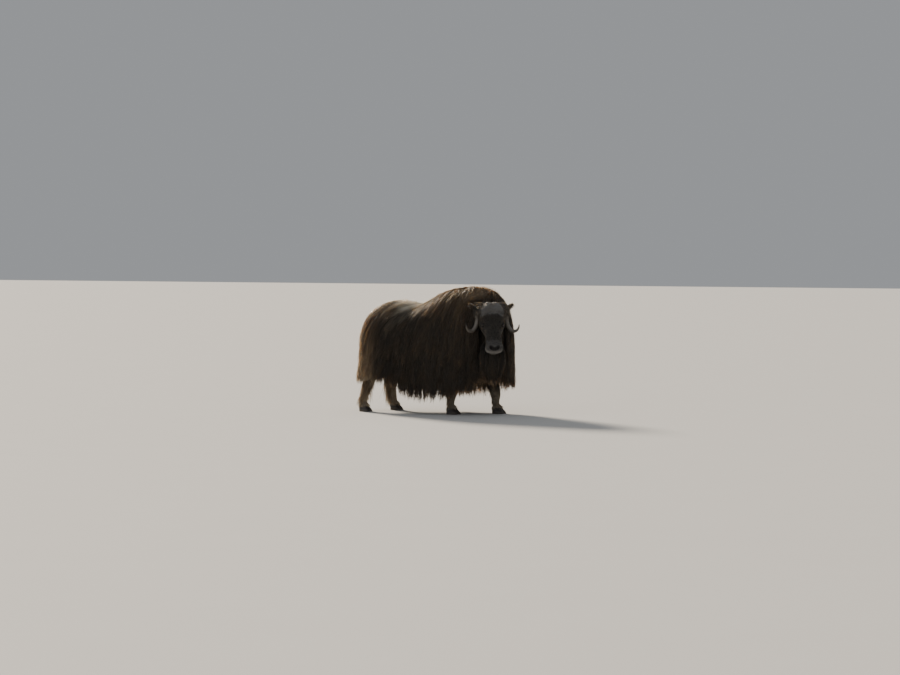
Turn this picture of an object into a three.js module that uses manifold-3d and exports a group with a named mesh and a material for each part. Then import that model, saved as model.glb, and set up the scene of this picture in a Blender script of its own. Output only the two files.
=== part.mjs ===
// A life-size muskox cow in her long winter coat. She stands on four hooves and turns her head to her right.
// Millimetres. +X is forward along the body, +Y is the animal's left, +Z is up, and the ground is at Z 0.
// The shapes are laid out with X 0 and Y 0 under the top of the shoulder hump. The last lines move the whole
// animal, so that the origin lies on the ground under the middle of its outline.
import * as THREE from "three";
import { ParametricGeometry } from "three/addons/geometries/ParametricGeometry.js";
import { mergeVertices } from "three/addons/utils/BufferGeometryUtils.js";
import Module from "manifold-3d";

const wasm = await Module();
wasm.setup();

// Driving sizes
const GAP = 0.3; // left between any two nodes
const HUMP_TOP = 1222; // the highest hair tips
const FLANK_HEM = 150; // the lowest hair tips along the flank
const BEARD_TIP = 315;
const CORE_DEPTH = 0.48; // how far the close underwool reaches from the flesh to the tips of the locks
const LOCK_SPACING = 185;
const LOCK_THICKNESS = 22;
// Rows of locks from the ridge to the hem, each with the drop of its roots and of its tips
const TORSO_ROWS = [[0.05, 0.32], [0.18, 0.5], [0.32, 0.72], [0.43, 0.89], [0.48, 1]];
const THROAT_ROWS = [[0.04, 0.34], [0.2, 0.56], [0.36, 0.8], [0.46, 1]];
const BEARD_ROWS = [[0.3, 0.75], [0.46, 1]];
const LEG_TOP = 410; // where a leg ends inside the body
const HOOF_TOP = 58;
const HEAD_LENGTH = 485;
const HEAD_TURN = -58; // degrees from straight ahead, to the animal's right
const HEAD_PITCH = 46; // degrees that the face slopes down
const POLL = [285, -205, 978]; // the middle of the back of the skull
const EYE_RADIUS = 17.5;

// Where the coat is parted into nodes: planes across the body, each with its distance along a heading
const SHOULDER_CUT = [-480, 0];
const NECK_CUT = [178, -25];
const FAR = 3000; // past the whole animal

const RADIAN = Math.PI / 180;
const TAU = Math.PI * 2;

// Small helpers
const mix = (a, b, share) => a + (b - a) * share;
const clamp = (share) => Math.min(1, Math.max(0, share));
const power = (value, exponent) => Math.sign(value) * Math.abs(value) ** exponent;
const bump = (distance, width) => Math.exp(-(distance * distance) / (2 * width * width));
const vector = (place) => new THREE.Vector3(...place);
const mirrored = ([x, y, z], side) => [x, y * side, z];

// A smooth curve through [place, value] stations, level past both ends.
function through(...stations) {
  const last = stations.length - 1;
  const slope = (i) => {
    const [before, after] = [stations[Math.max(0, i - 1)], stations[Math.min(last, i + 1)]];
    return (after[1] - before[1]) / (after[0] - before[0]);
  };
  return (place) => {
    if (place <= stations[0][0]) return stations[0][1];
    if (place >= stations[last][0]) return stations[last][1];
    const i = stations.findIndex(([end]) => end > place) - 1;
    const [[x0, y0], [x1, y1]] = [stations[i], stations[i + 1]];
    const [length, t] = [x1 - x0, (place - x0) / (x1 - x0)];
    const [t2, t3] = [t * t, t * t * t];
    return (
      y0 * (2 * t3 - 3 * t2 + 1) +
      y1 * (3 * t2 - 2 * t3) +
      length * (slope(i) * (t3 - 2 * t2 + t) + slope(i + 1) * (t3 - t2))
    );
  };
}

// Solids: closed surfaces that can be joined and cut
function solidOf(geometry) {
  const bare = geometry.clone();
  bare.deleteAttribute("normal");
  bare.deleteAttribute("uv");
  const merged = mergeVertices(bare, 1e-3);
  const corners = [];
  const index = merged.index.array;
  for (let i = 0; i < index.length; i += 3) {
    const [a, b, c] = index.slice(i, i + 3);
    if (a !== b && b !== c && c !== a) corners.push(a, b, c);
  }
  const build = (triangles) =>
    new wasm.Manifold(
      new wasm.Mesh({
        numProp: 3,
        vertProperties: new Float32Array(merged.attributes.position.array),
        triVerts: new Uint32Array(triangles),
      }),
    );
  const solid = build(corners);
  return solid.volume() < 0 ? build(corners.reverse()) : solid;
}

// A closed surface from a function of the share of the way round and along.
const surface = (place, around, along) =>
  solidOf(new ParametricGeometry((u, v, target) => target.copy(place(u % 1, v)), around, along));

// Random draws that come out the same on every run.
function seeded(start) {
  const [FACTOR, STEP, RANGE] = [1664525, 1013904223, 2 ** 32];
  let state = start;
  return (low, high) => {
    state = (state * FACTOR + STEP) % RANGE;
    return mix(low, high, state / RANGE);
  };
}

const joined = (solids) => wasm.Manifold.union(solids);

// A cut can leave loose scraps and sealed hollows, so only the largest closed surface is kept.
const largest = (solid) => solid.decompose().reduce((a, b) => (a.volume() > b.volume() ? a : b));

function geometryOf(solid) {
  const mesh = solid.getMesh();
  const positions = new Float32Array(mesh.numVert * 3);
  for (let i = 0; i < mesh.numVert; i++)
    positions.set(mesh.vertProperties.subarray(i * mesh.numProp, i * mesh.numProp + 3), i * 3);
  const geometry = new THREE.BufferGeometry();
  geometry.setAttribute("position", new THREE.BufferAttribute(positions, 3));
  geometry.setIndex(new THREE.BufferAttribute(new Uint32Array(mesh.triVerts), 1));
  geometry.computeVertexNormals();
  return geometry;
}

const movedBy = (solid, matrix) => solidOf(geometryOf(solid).applyMatrix4(matrix));

// The same shape with every face moved out by the gap, to cut the room that it needs in a neighbour.
function grown(solid) {
  const SHARPEST = 0.25; // how far a corner may lean from its faces before it stops moving further out
  const geometry = geometryOf(solid);
  const { position, normal } = geometry.attributes;
  const lean = new Array(position.count).fill(1);
  const face = new THREE.Triangle();
  const [flat, out, place] = [new THREE.Vector3(), new THREE.Vector3(), new THREE.Vector3()];
  for (let i = 0; i < geometry.index.count; i += 3) {
    const corners = [0, 1, 2].map((k) => geometry.index.getX(i + k));
    face.setFromAttributeAndIndices(position, ...corners);
    face.getNormal(flat);
    for (const corner of corners)
      lean[corner] = Math.min(lean[corner], flat.dot(out.fromBufferAttribute(normal, corner)));
  }
  for (let i = 0; i < position.count; i++) {
    out.fromBufferAttribute(normal, i);
    place.fromBufferAttribute(position, i).addScaledVector(out, GAP / Math.max(SHARPEST, lean[i]));
    position.setXYZ(i, place.x, place.y, place.z);
  }
  return solidOf(geometry);
}

// Everything on the far side of an upright plane, which stands `distance` along a `heading` in degrees.
function beyond(distance, heading) {
  const block = new THREE.BoxGeometry(FAR, 2 * FAR, 2 * FAR);
  block.translate(FAR / 2 + distance, 0, 0);
  block.rotateZ(heading * RADIAN);
  return solidOf(block);
}

// A tapered tube along a smooth path, flat at both ends. `halves` gives its two half-widths at a share of the
// way along, the first towards `fore`. A level tube has level rings.
function tube({ path, halves, fore = [1, 0, 0], around, along, level = false }) {
  const curve = new THREE.CatmullRomCurve3(path.map(vector), false, "centripetal");
  return surface((u, v) => {
    const t = clamp((v * (along + 2) - 1) / along);
    const centre = curve.getPoint(t);
    if (v === 0 || v === 1) return centre;
    const tangent = level ? vector([0, 0, 1]) : curve.getTangent(t);
    const first = vector(fore).addScaledVector(tangent, -tangent.dot(vector(fore))).normalize();
    const second = tangent.clone().cross(first);
    const [a, b] = halves(t);
    return centre
      .addScaledVector(first, a * Math.cos(u * TAU))
      .addScaledVector(second, b * Math.sin(u * TAU));
  }, around, along + 2);
}

function ball(radii, place, around, along) {
  const geometry = new THREE.SphereGeometry(1, around, along);
  geometry.scale(...radii);
  geometry.translate(...place);
  return solidOf(geometry);
}

// The body in its hanging coat. It is a bell: flow lines leave a ridge along the top, fan out over a dome to
// the widest line, and then hang down to a hem, or close under the belly. Depth 0 is flesh and 1 is the tips.
class Bell {
  constructor(sizes) {
    Object.assign(this, sizes);
  }
  // One layer's point: `drop` is 0 on the ridge, 0.5 on the widest line and 1 at the hem or under the belly.
  layer(size, around, drop, hanging) {
    const [c, s] = [Math.cos(around * TAU), Math.sin(around * TAU)];
    const ridge = (this.tips.halfLength - this.fan) * power(c, 2 / this.plan);
    const angle = drop * Math.PI;
    let [out, height] = [1, size.widest];
    if (drop <= 0.5) {
      out = Math.sin(angle) ** (2 / this.dome);
      height = mix(size.widest, size.top(ridge + this.centre[0]), clamp(Math.cos(angle)) ** (2 / this.dome));
    } else if (hanging) {
      const fall = (drop - 0.5) * 2;
      out = 1 + this.flare(around) * fall * fall;
      height = mix(size.widest, this.hem(around), fall);
    } else {
      out = drop === 1 ? 0 : Math.sin(angle) ** (2 / size.keel);
      height = mix(size.widest, size.belly, Math.abs(Math.cos(angle)) ** (2 / size.keel));
    }
    const x = mix(ridge, size.halfLength * power(c, 2 / this.plan), out);
    const y = size.halfWidth * power(s, 2 / this.plan) * out;
    const turn = this.heading * RADIAN;
    return new THREE.Vector3(
      this.centre[0] + x * Math.cos(turn) - y * Math.sin(turn),
      this.centre[1] + x * Math.sin(turn) + y * Math.cos(turn),
      height,
    );
  }
  point(around, drop, depth, hanging = true) {
    const tip = this.layer(this.tips, around, drop, hanging);
    return this.layer(this.flesh, around, drop, hanging).lerp(tip, depth);
  }
  outward(around, drop) {
    return this.point(around, drop, 1).sub(this.point(around, drop, 0)).normalize();
  }
  core(around, along) {
    return surface((u, v) => this.point(u, v, CORE_DEPTH, false), around, along);
  }
  // Whether a place lies inside this bell's outline as seen from above, at some depth of hair.
  holds(place, depth) {
    const turn = -this.heading * RADIAN;
    const [x, y] = [place.x - this.centre[0], place.y - this.centre[1]];
    const along = Math.abs(x * Math.cos(turn) - y * Math.sin(turn));
    const across = Math.abs(x * Math.sin(turn) + y * Math.cos(turn));
    const length = mix(this.flesh.halfLength, this.tips.halfLength, depth);
    const width = mix(this.flesh.halfWidth, this.tips.halfWidth, depth);
    return (along / length) ** this.plan + (across / width) ** this.plan < 1;
  }
}

// One lock is a flat blade with a keel, which starts sunk in its body and tapers to its tip. `line` gives the
// keel and the way out of the coat at a share of the length.
const LOCK_SIDES = 3;
const LOCK_STEPS = 4;
const lockWidth = through([0, 0.5], [0.3, 0.95], [0.6, 1], [0.85, 0.6], [1, 0.1]);
function lock(line, halfWidth, thickness, roll) {
  const STEP = 0.02;
  return surface((u, v) => {
    const { place, out } = line(v);
    if (v === 0 || v === 1) return place;
    const along = line(v + STEP).place.sub(line(v - STEP).place).normalize();
    const across = along.clone().cross(out).normalize().applyAxisAngle(along, roll);
    const keel = across.clone().cross(along);
    const angle = (u + 0.25) * TAU;
    return place
      .addScaledVector(across, halfWidth * lockWidth(v) * Math.cos(angle))
      .addScaledVector(keel, thickness * lockWidth(v) * (Math.sin(angle) - 1));
  }, LOCK_SIDES, LOCK_STEPS);
}

// The depth in the coat of a lock's keel, from its root to its tip.
const lockDepth = through([0, 0.2], [0.3, 0.8], [0.65, 1], [1, 1]);

// Rows of locks round a bell, evenly spaced, from roots at one drop to tips at another. A lock that another
// bell would bury is left out.
function locksRound(bell, rows, spacing, draw, other) {
  const SAMPLES = 240;
  const BURIED = 0.75;
  const locks = [];
  for (const [roots, tips] of rows) {
    const middle = mix(roots, tips, 0.6);
    let walked = draw(0, spacing);
    let last = bell.point(0, middle, 1);
    for (let i = 1; i <= SAMPLES; i++) {
      const place = bell.point(i / SAMPLES, middle, 1);
      walked += place.distanceTo(last);
      last = place;
      if (walked < spacing) continue;
      walked -= spacing;
      const [from, to] = [roots + draw(-0.02, 0.02), Math.min(1, tips + draw(-0.06, 0.05))];
      const [sway, width] = [draw(-0.014, 0.014), spacing * draw(0.52, 0.63)];
      const line = (t) => {
        const [around, drop] = [i / SAMPLES + sway * t * t, mix(from, to, t)];
        return { place: bell.point(around, drop, lockDepth(t)), out: bell.outward(around, drop) };
      };
      const shape = [width, draw(LOCK_THICKNESS * 0.8, LOCK_THICKNESS * 1.2), draw(-0.16, 0.16)];
      if (!other?.holds(place, BURIED)) locks.push(lock(line, ...shape));
    }
  }
  return locks;
}

// The height of the hem from the rear at -1 to the front at 1: short behind the hind legs, long on the flank
const torsoHem = through([-1, 285], [-0.34, 262], [-0.12, FLANK_HEM + 8], [0.15, FLANK_HEM], [0.5, 190],
  [1, 260]);
const torso = new Bell({
  centre: [-405, 0],
  heading: 0,
  plan: 2.5,
  dome: 2.3,
  fan: 300,
  flare: (around) => 0.02 + 0.05 * clamp(-Math.cos(around * TAU)),
  hem: (around) => torsoHem(Math.cos(around * TAU)),
  tips: {
    halfLength: 792,
    halfWidth: 372,
    top: through([-900, 1030], [-790, 1078], [-660, 1070], [-530, 1042], [-440, 1085], [-320, 1158],
      [-190, 1205], [-30, HUMP_TOP], [90, 1212]),
    widest: 610,
    belly: 270,
    keel: 3,
  },
  flesh: {
    halfLength: 690,
    halfWidth: 250,
    top: through([-900, 950], [-790, 1005], [-660, 1008], [-530, 988], [-440, 1020], [-320, 1075],
      [-190, 1110], [-30, 1122], [90, 1105]),
    widest: 720,
    belly: 470,
    keel: 2.4,
  },
});

// Locks along the ridge of the back, which lie towards the tail.
function ridgeLocks(draw) {
  const [FIRST, LAST, SPACING, LENGTH, HALF_WIDTH] = [95, -860, 108, 220, 95];
  const locks = [];
  for (let root = FIRST; root > LAST; root -= SPACING) {
    const sway = draw(-40, 40);
    const line = (t) => {
      const x = root - LENGTH * t;
      const height = mix(torso.flesh.top(x), torso.tips.top(x), lockDepth(t));
      return { place: new THREE.Vector3(x, sway * t, height), out: vector([0, 0, 1]) };
    };
    locks.push(lock(line, HALF_WIDTH, LOCK_THICKNESS * 1.6, draw(-0.15, 0.15)));
  }
  return locks;
}

const throat = new Bell({
  centre: [112, -48],
  heading: -30,
  plan: 2.3,
  dome: 2.5,
  fan: 205,
  flare: () => -0.12,
  hem: () => 320,
  tips: {
    halfLength: 300,
    halfWidth: 275,
    top: through([0, 1208], [112, 1178], [215, 1085]),
    widest: 680,
    belly: 330,
    keel: 4,
  },
  flesh: {
    halfLength: 200,
    halfWidth: 135,
    top: through([0, 1110], [112, 1075], [215, 1000]),
    widest: 800,
    belly: 560,
    keel: 2.2,
  },
});

// The beard hangs from the jaw and throat and narrows to a point.
const beard = new Bell({
  centre: [352, -312],
  heading: HEAD_TURN,
  plan: 2,
  dome: 2,
  fan: 95,
  flare: () => -0.86,
  hem: () => BEARD_TIP,
  tips: { halfLength: 95, halfWidth: 132, top: () => 800, widest: 610, belly: 430, keel: 2 },
  flesh: { halfLength: 35, halfWidth: 60, top: () => 790, widest: 650, belly: 540, keel: 2 },
});

// The head lies along its own X from the back of the skull to the nose, with +Z out of the forehead.
const HEAD_BACK = -60;
const NOSE_ROUND = 62; // how far back the rounding of the nose starts
const SKULL_ROUND = 70;
const faceHalfWidth = through([-40, 78], [40, 108], [120, 112], [195, 100], [260, 84], [330, 76], [400, 78],
  [450, 80], [HEAD_LENGTH, 66]);
const faceAbove = through([-40, 72], [30, 96], [90, 92], [160, 82], [240, 72], [330, 62], [410, 57],
  [460, 50], [HEAD_LENGTH, 40]);
const faceBelow = through([-40, 80], [40, 118], [120, 130], [200, 118], [280, 98], [350, 86], [410, 84],
  [450, 82], [HEAD_LENGTH, 66]);

// Swellings and hollows of the face: where each is, how wide it spreads and how far it stands out
const FACE_FORMS = {
  eyeSocket: { at: [200, 104, 42], spread: 27, out: 16 },
  brow: { at: [168, 84, 76], spread: 24, out: 9 },
  cheek: { at: [120, 112, -62], spread: 46, out: 12 },
  hollowBelowEye: { at: [270, 84, 4], spread: 32, out: -8 },
  nostrilWing: { at: [455, 44, 22], spread: 20, out: 10 },
  upperLip: { at: [460, 50, -20], spread: 22, out: 8 },
  chin: { at: [445, 0, -84], spread: 28, out: 9 },
  noseBridge: { at: [350, 0, 62], spread: 55, out: 7 },
};

// The head's surface, or one that lies `inset` deep in it.
function headPoint(u, v, inset) {
  const x = mix(HEAD_BACK, HEAD_LENGTH, (1 - Math.cos(v * Math.PI)) / 2);
  const rear = clamp((x - HEAD_BACK) / SKULL_ROUND);
  const front = clamp((HEAD_LENGTH - x) / NOSE_ROUND);
  const closing = (1 - (1 - rear) ** 2.4) ** (1 / 2.4) * (1 - (1 - front) ** 2.6) ** (1 / 2.6);
  const [c, s] = [power(Math.cos(u * TAU), 0.86), power(Math.sin(u * TAU), 0.86)];
  const height = c > 0 ? faceAbove(x) : faceBelow(x);
  const place = new THREE.Vector3(x, faceHalfWidth(x) * s * closing, height * c * closing);
  const outward = new THREE.Vector3(0, place.y, place.z);
  outward.x = Math.max(0, x - HEAD_LENGTH + NOSE_ROUND) + Math.min(0, x - HEAD_BACK - SKULL_ROUND);
  outward.normalize();
  const side = place.y < 0 ? -1 : 1;
  const rise = Object.values(FACE_FORMS).reduce(
    (sum, { at, spread, out }) => sum + out * bump(place.distanceTo(vector(mirrored(at, side))), spread),
    -inset,
  );
  return place.addScaledVector(outward, rise);
}
const skull = (inset, around, along) => surface((u, v) => headPoint(u, v, inset), around, along);

const EYE = [200, 89, 41]; // the left eye's centre

// A lid lies on the eyeball as an arc from corner to corner. `lift` is how many degrees its middle bends up.
function lid(side, lift) {
  const out = vector([0.25, 0.93, 0.27]).normalize();
  const along = vector([1, 0, 0]).addScaledVector(out, -out.x).normalize();
  const up = along.clone().cross(out).negate();
  const [CORNER, ARC_POINTS, HALF] = [62, 6, 4.5];
  const path = [];
  for (let i = 0; i <= ARC_POINTS; i++) {
    const share = i / ARC_POINTS;
    const [sweep, rise] = [mix(-CORNER, CORNER, share) * RADIAN, lift * Math.sin(share * Math.PI) * RADIAN];
    const place = vector(EYE)
      .addScaledVector(out, Math.cos(sweep) * Math.cos(rise) * EYE_RADIUS)
      .addScaledVector(along, Math.sin(sweep) * Math.cos(rise) * EYE_RADIUS)
      .addScaledVector(up, Math.sin(rise) * EYE_RADIUS);
    path.push(mirrored(place.toArray(), side));
  }
  return tube({ path, halves: () => [HALF, HALF], fore: [0, side, 0], around: 5, along: 4 });
}

// The line of the mouth is a groove round the muzzle.
function mouthGroove() {
  const [BACK, HEIGHT, SLOPE, DEPTH] = [345, 3.5, 0.12, 8];
  const slab = new THREE.BoxGeometry(HEAD_LENGTH, 400, HEIGHT);
  slab.translate(HEAD_LENGTH / 2, 0, 0);
  slab.rotateY(-SLOPE);
  slab.translate(BACK, 0, -42);
  return solidOf(slab).subtract(skull(DEPTH, 14, 12));
}

function nostril(side) {
  const geometry = new THREE.SphereGeometry(1, 8, 5);
  geometry.scale(22, 9, 14);
  geometry.rotateZ(28 * RADIAN * side);
  geometry.translate(468, 31 * side, 10);
  return solidOf(geometry);
}

const horn = (side) => ({
  path: [[-24, 22, 40], [-28, 76, 58], [-10, 116, 42], [40, 133, 6], [92, 139, -24], [148, 157, -46],
    [193, 192, -49], [213, 226, -20], [205, 243, 8], [180, 250, 36]].map((p) => mirrored(p, side)),
  halves: (t) => [
    through([0, 34], [0.16, 44], [0.3, 33], [0.5, 22], [0.7, 16], [0.88, 10], [1, 3])(t),
    through([0, 18], [0.16, 23], [0.3, 23], [0.5, 19], [0.7, 14], [0.88, 9], [1, 3])(t),
  ],
  around: 8,
  along: 14,
});

// An ear is a round leaf with a cup cut in its front.
const EAR = {
  path: [[4, 70, -32], [-28, 128, -8], [-54, 174, 16], [-74, 206, 38]],
  front: [1, 0, -0.2],
  width: through([0, 14], [0.3, 26], [0.6, 30], [0.85, 20], [1, 5]),
  depth: through([0, 12], [0.4, 17], [0.7, 15], [1, 4]),
  wall: 6,
};
function ear(side) {
  const leaf = { path: EAR.path.map((p) => mirrored(p, side)), fore: EAR.front, around: 10, along: 6 };
  const outside = tube({ ...leaf, halves: (t) => [EAR.depth(t), EAR.width(t)] });
  const forward = ([x, y, z]) => [x + EAR.wall * 2, y, z];
  const cup = tube({
    ...leaf,
    path: leaf.path.slice(1).map(forward),
    halves: (t) => [EAR.depth(t), (EAR.width(mix(0.35, 1, t)) - EAR.wall) * mix(1, 0.4, t ** 3)],
  });
  return { outside, ear: outside.subtract(cup) };
}

// The forelock is two lobes of woolly locks over the forehead, from the poll nearly down to the eyes.
const FORELOCK = {
  rows: [[-32, 62], [22, 128]],
  sides: [0.035, 0.105],
  halfWidth: 34,
  rise: 34,
  thickness: 15,
};
function forelock(draw) {
  const share = (x) => Math.acos(1 - (2 * (x - HEAD_BACK)) / (HEAD_LENGTH - HEAD_BACK)) / Math.PI;
  const depth = through([0, -8], [0.25, 12], [0.6, FORELOCK.rise], [1, FORELOCK.rise * 0.6]);
  return FORELOCK.rows.flatMap(([from, to]) =>
    FORELOCK.sides.flatMap((side) =>
      [side, 1 - side].map((around) => {
        const [sway, reach] = [draw(-0.01, 0.01), to + draw(-10, 14)];
        const line = (t) => {
          const [u, v] = [around + sway * t, share(mix(from, reach, t))];
          const place = headPoint(u, v, -depth(t));
          return { place, out: place.clone().sub(headPoint(u, v, depth(t) + 1)).normalize() };
        };
        return lock(line, FORELOCK.halfWidth * draw(0.9, 1.1), FORELOCK.thickness, draw(-0.12, 0.12));
      }),
    ),
  );
}

// The nodes, each with its colour, roughness and place in the scene
const animal = new THREE.Group();
const head = new THREE.Group();
head.position.set(...POLL);
head.rotation.set(0, HEAD_PITCH * RADIAN, HEAD_TURN * RADIAN, "ZYX");
animal.add(head);
head.updateWorldMatrix(true, false);

function add(parent, name, solid, color, roughness) {
  const material = new THREE.MeshStandardMaterial({ color, roughness });
  const mesh = new THREE.Mesh(geometryOf(largest(solid)), material);
  mesh.name = name;
  parent.add(mesh);
  return mesh;
}

const SIDES = [["left", 1], ["right", -1]];
const draw = seeded(9);
const bareHead = skull(0, 22, 22);
const woolly = forelock(draw);
const headCutters = [bareHead, ...woolly].map(grown);
let headSolid = joined([bareHead, ...woolly]);
for (const [name, side] of SIDES) {
  const eyeball = ball([EYE_RADIUS, EYE_RADIUS, EYE_RADIUS], mirrored(EYE, side), 12, 7);
  const hornSolid = tube(horn(side));
  const { outside, ear: earSolid } = ear(side);
  const rooms = [hornSolid, outside].map(grown);
  headSolid = headSolid.add(lid(side, 34)).add(lid(side, -30)).subtract(nostril(side));
  headSolid = headSolid.subtract(grown(eyeball)).subtract(rooms[0]).subtract(rooms[1]);
  headCutters.push(...rooms);
  add(head, `eye_${name}`, eyeball, 0x1a120c, 0.15);
  add(head, `horn_${name}`, hornSolid, 0xb0a79a, 0.6);
  add(head, `ear_${name}`, earSolid.subtract(rooms[0]), 0x5f4a38, 0.9);
}
add(head, "head", headSolid.subtract(mouthGroove()), 0x6a6058, 0.95);

// Legs: each is named, has a path from inside the body to the hoof, and stands on a hoof of its own.
const FORE_HALVES = (t) => [
  through([0, 78], [0.3, 58], [0.42, 50], [0.55, 42], [0.78, 33], [0.9, 40], [1, 42])(t),
  through([0, 60], [0.3, 46], [0.42, 44], [0.55, 36], [0.78, 30], [0.9, 36], [1, 40])(t),
];
const HIND_HALVES = (t) => [
  through([0, 95], [0.3, 62], [0.45, 46], [0.6, 36], [0.8, 31], [0.9, 38], [1, 40])(t),
  through([0, 70], [0.3, 46], [0.45, 38], [0.6, 32], [0.8, 29], [0.9, 34], [1, 38])(t),
];
const SOLE = HOOF_TOP + GAP;
const LEGS = [
  {
    name: "foreleg_left",
    path: [[90, 135, LEG_TOP], [128, 142, 300], [158, 145, 190], [160, 145, 110], [172, 145, SOLE]],
    halves: FORE_HALVES,
    hoof: { length: 62, width: 29, heading: 4 },
  },
  {
    name: "foreleg_right",
    path: [[-90, -135, LEG_TOP], [-128, -142, 300], [-160, -145, 190], [-172, -145, 110], [-165, -145, SOLE]],
    halves: FORE_HALVES,
    hoof: { length: 62, width: 29, heading: -6 },
  },
  {
    name: "hindleg_left",
    path: [[-955, 150, LEG_TOP + 40], [-985, 165, 360], [-990, 168, 250], [-972, 170, 115],
      [-960, 170, SOLE]],
    halves: HIND_HALVES,
    hoof: { length: 58, width: 27, heading: 6 },
  },
  {
    name: "hindleg_right",
    path: [[-995, -150, LEG_TOP + 40], [-1022, -165, 360], [-1062, -168, 250], [-1112, -170, 115],
      [-1112, -170, SOLE]],
    halves: HIND_HALVES,
    hoof: { length: 58, width: 27, heading: -8 },
  },
];

// A hoof has two toes, which lean together under the fetlock.
function hoof({ length, width }) {
  const toe = (side) =>
    tube({
      path: [[16, side * (width + 1), 0], [10, side * (width - 2), 22], [-2, side * (width * 0.68), 44],
        [-6, side * (width * 0.55), HOOF_TOP]],
      halves: (t) => [length * mix(1, 0.72, t), width * through([0, 0.93], [0.3, 1], [1, 0.98])(t)],
      around: 10,
      along: 3,
      level: true,
    });
  return toe(1).add(toe(-1));
}

const legCutters = [];
for (const leg of LEGS) {
  const shaft = tube({ path: leg.path, halves: leg.halves, around: 10, along: 8, level: true });
  const [x, y] = leg.path.at(-1);
  const dewclaws = [-1, 1].map((side) => ball([12, 9, 14], [x - 34, y + 15 * side, SOLE + 34], 5, 3));
  legCutters.push(grown(shaft));
  add(animal, leg.name, joined([shaft, ...dewclaws]), 0xc9b79c, 0.95);
  const foot = add(animal, leg.name.replace("leg", "hoof"), hoof(leg.hoof), 0x2d2824, 0.7);
  foot.position.set(x, y, 0);
  foot.rotation.z = leg.hoof.heading * RADIAN;
}

// The tail hangs from the back of the rump, nearly hidden by the coat.
const tail = tube({
  path: [[-1085, 0, 880], [-1150, 0, 850], [-1192, 0, 790], [-1205, 0, 720]],
  halves: (t) => [through([0, 24], [0.6, 26], [1, 10])(t), through([0, 32], [0.6, 36], [1, 14])(t)],
  around: 8,
  along: 6,
});
add(animal, "tail", tail, 0xa98a5f, 0.95);

// The coat, in three lengths from the tail forward
const COAT = [
  { name: "rump", until: SHOULDER_CUT, color: 0x6a4a30 },
  { name: "shoulders", from: SHOULDER_CUT, until: NECK_CUT, color: 0x5c3f28 },
  { name: "neck", from: NECK_CUT, color: 0x3a2819 },
];
const cutters = [
  ...legCutters,
  grown(tail),
  ...headCutters.map((solid) => movedBy(solid, head.matrixWorld)),
];
const coat = joined([
  torso.core(22, 10),
  throat.core(14, 8),
  beard.core(8, 6),
  ...ridgeLocks(draw),
  ...locksRound(torso, TORSO_ROWS, LOCK_SPACING, draw, throat),
  ...locksRound(throat, THROAT_ROWS, LOCK_SPACING, draw, torso),
  ...locksRound(beard, BEARD_ROWS, LOCK_SPACING * 0.7, draw),
]);
const clear = cutters.reduce((solid, cutter) => solid.subtract(cutter), coat);
for (const { name, from, until, color } of COAT) {
  let length = clear;
  if (from) length = length.intersect(beyond(from[0] + GAP / 2, from[1]));
  if (until) length = length.subtract(beyond(until[0] - GAP / 2, until[1]));
  add(animal, name, length, color, 1);
}

// The origin goes to the ground under the middle of the outline.
const muskox = new THREE.Group();
muskox.add(animal);
muskox.updateWorldMatrix(true, true);
const outline = new THREE.Box3().setFromObject(animal, true);
const middle = outline.getCenter(new THREE.Vector3());
animal.position.set(-middle.x, -middle.y, -outline.min.z);

export default muskox;
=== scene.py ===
"""A life-size muskox cow: one skin, a long hanging coat in tufts, horns, eyes and hooves, in a plain studio.

Shapes are laid out in metres with X 0 and Y 0 under the top of the shoulder hump. +X is forward along the
body, +Y is the animal's left and +Z is up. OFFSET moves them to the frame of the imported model.
"""
import logging
import math
from collections.abc import Callable, Sequence
from dataclasses import dataclass, field, fields, replace
from enum import Enum

import bmesh
import bpy
import numpy as np
from mathutils import Matrix, Vector, kdtree


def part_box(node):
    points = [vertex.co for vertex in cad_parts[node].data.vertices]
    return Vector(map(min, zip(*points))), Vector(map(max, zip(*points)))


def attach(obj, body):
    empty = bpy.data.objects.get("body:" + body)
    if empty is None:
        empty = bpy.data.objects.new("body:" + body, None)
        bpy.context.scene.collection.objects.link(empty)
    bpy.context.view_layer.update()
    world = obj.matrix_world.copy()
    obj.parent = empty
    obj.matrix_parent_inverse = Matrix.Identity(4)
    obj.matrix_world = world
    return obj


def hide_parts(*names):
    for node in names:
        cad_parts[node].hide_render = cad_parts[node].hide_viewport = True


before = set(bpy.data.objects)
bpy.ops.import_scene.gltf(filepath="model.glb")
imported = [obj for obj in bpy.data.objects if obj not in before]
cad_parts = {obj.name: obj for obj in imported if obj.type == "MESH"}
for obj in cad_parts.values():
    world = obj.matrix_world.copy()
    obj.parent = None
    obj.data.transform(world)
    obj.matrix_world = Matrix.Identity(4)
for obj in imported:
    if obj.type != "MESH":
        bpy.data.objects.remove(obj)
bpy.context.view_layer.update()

Array = np.ndarray
Curve = Callable[[Array], Array]
Surface = Callable[[Array, Array], Array]
Faces = list[tuple[int, ...]]
Colour = tuple[float, float, float]

LOG = logging.getLogger("muskox")
TAU = 2 * math.pi
SEED = 11
SIDES = (("left", 1), ("right", -1))
PATH_STEP = 1e-3
HEAD_STEP = 2e-3
FUR_STEP = 3e-3

# The head's place on the body, and the eye's centre in the head's own frame
POLL = np.array((0.285, -0.205, 0.978))
HEAD_TURN = math.radians(-58)
HEAD_PITCH = math.radians(46)
EYE_CENTRE = np.array((0.200, 0.089, 0.041))
EYE_RADIUS = 0.0175
HEAD_AXES = np.array(Matrix.Rotation(HEAD_TURN, 3, "Z") @ Matrix.Rotation(HEAD_PITCH, 3, "Y"))
DOWN_IN_HEAD = np.array((0.0, 0.0, -1.0)) @ HEAD_AXES


def head_to_body(points: Array) -> Array:
    """Moves points from the head's own frame to the body's layout."""
    return points @ HEAD_AXES.T + POLL


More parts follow.
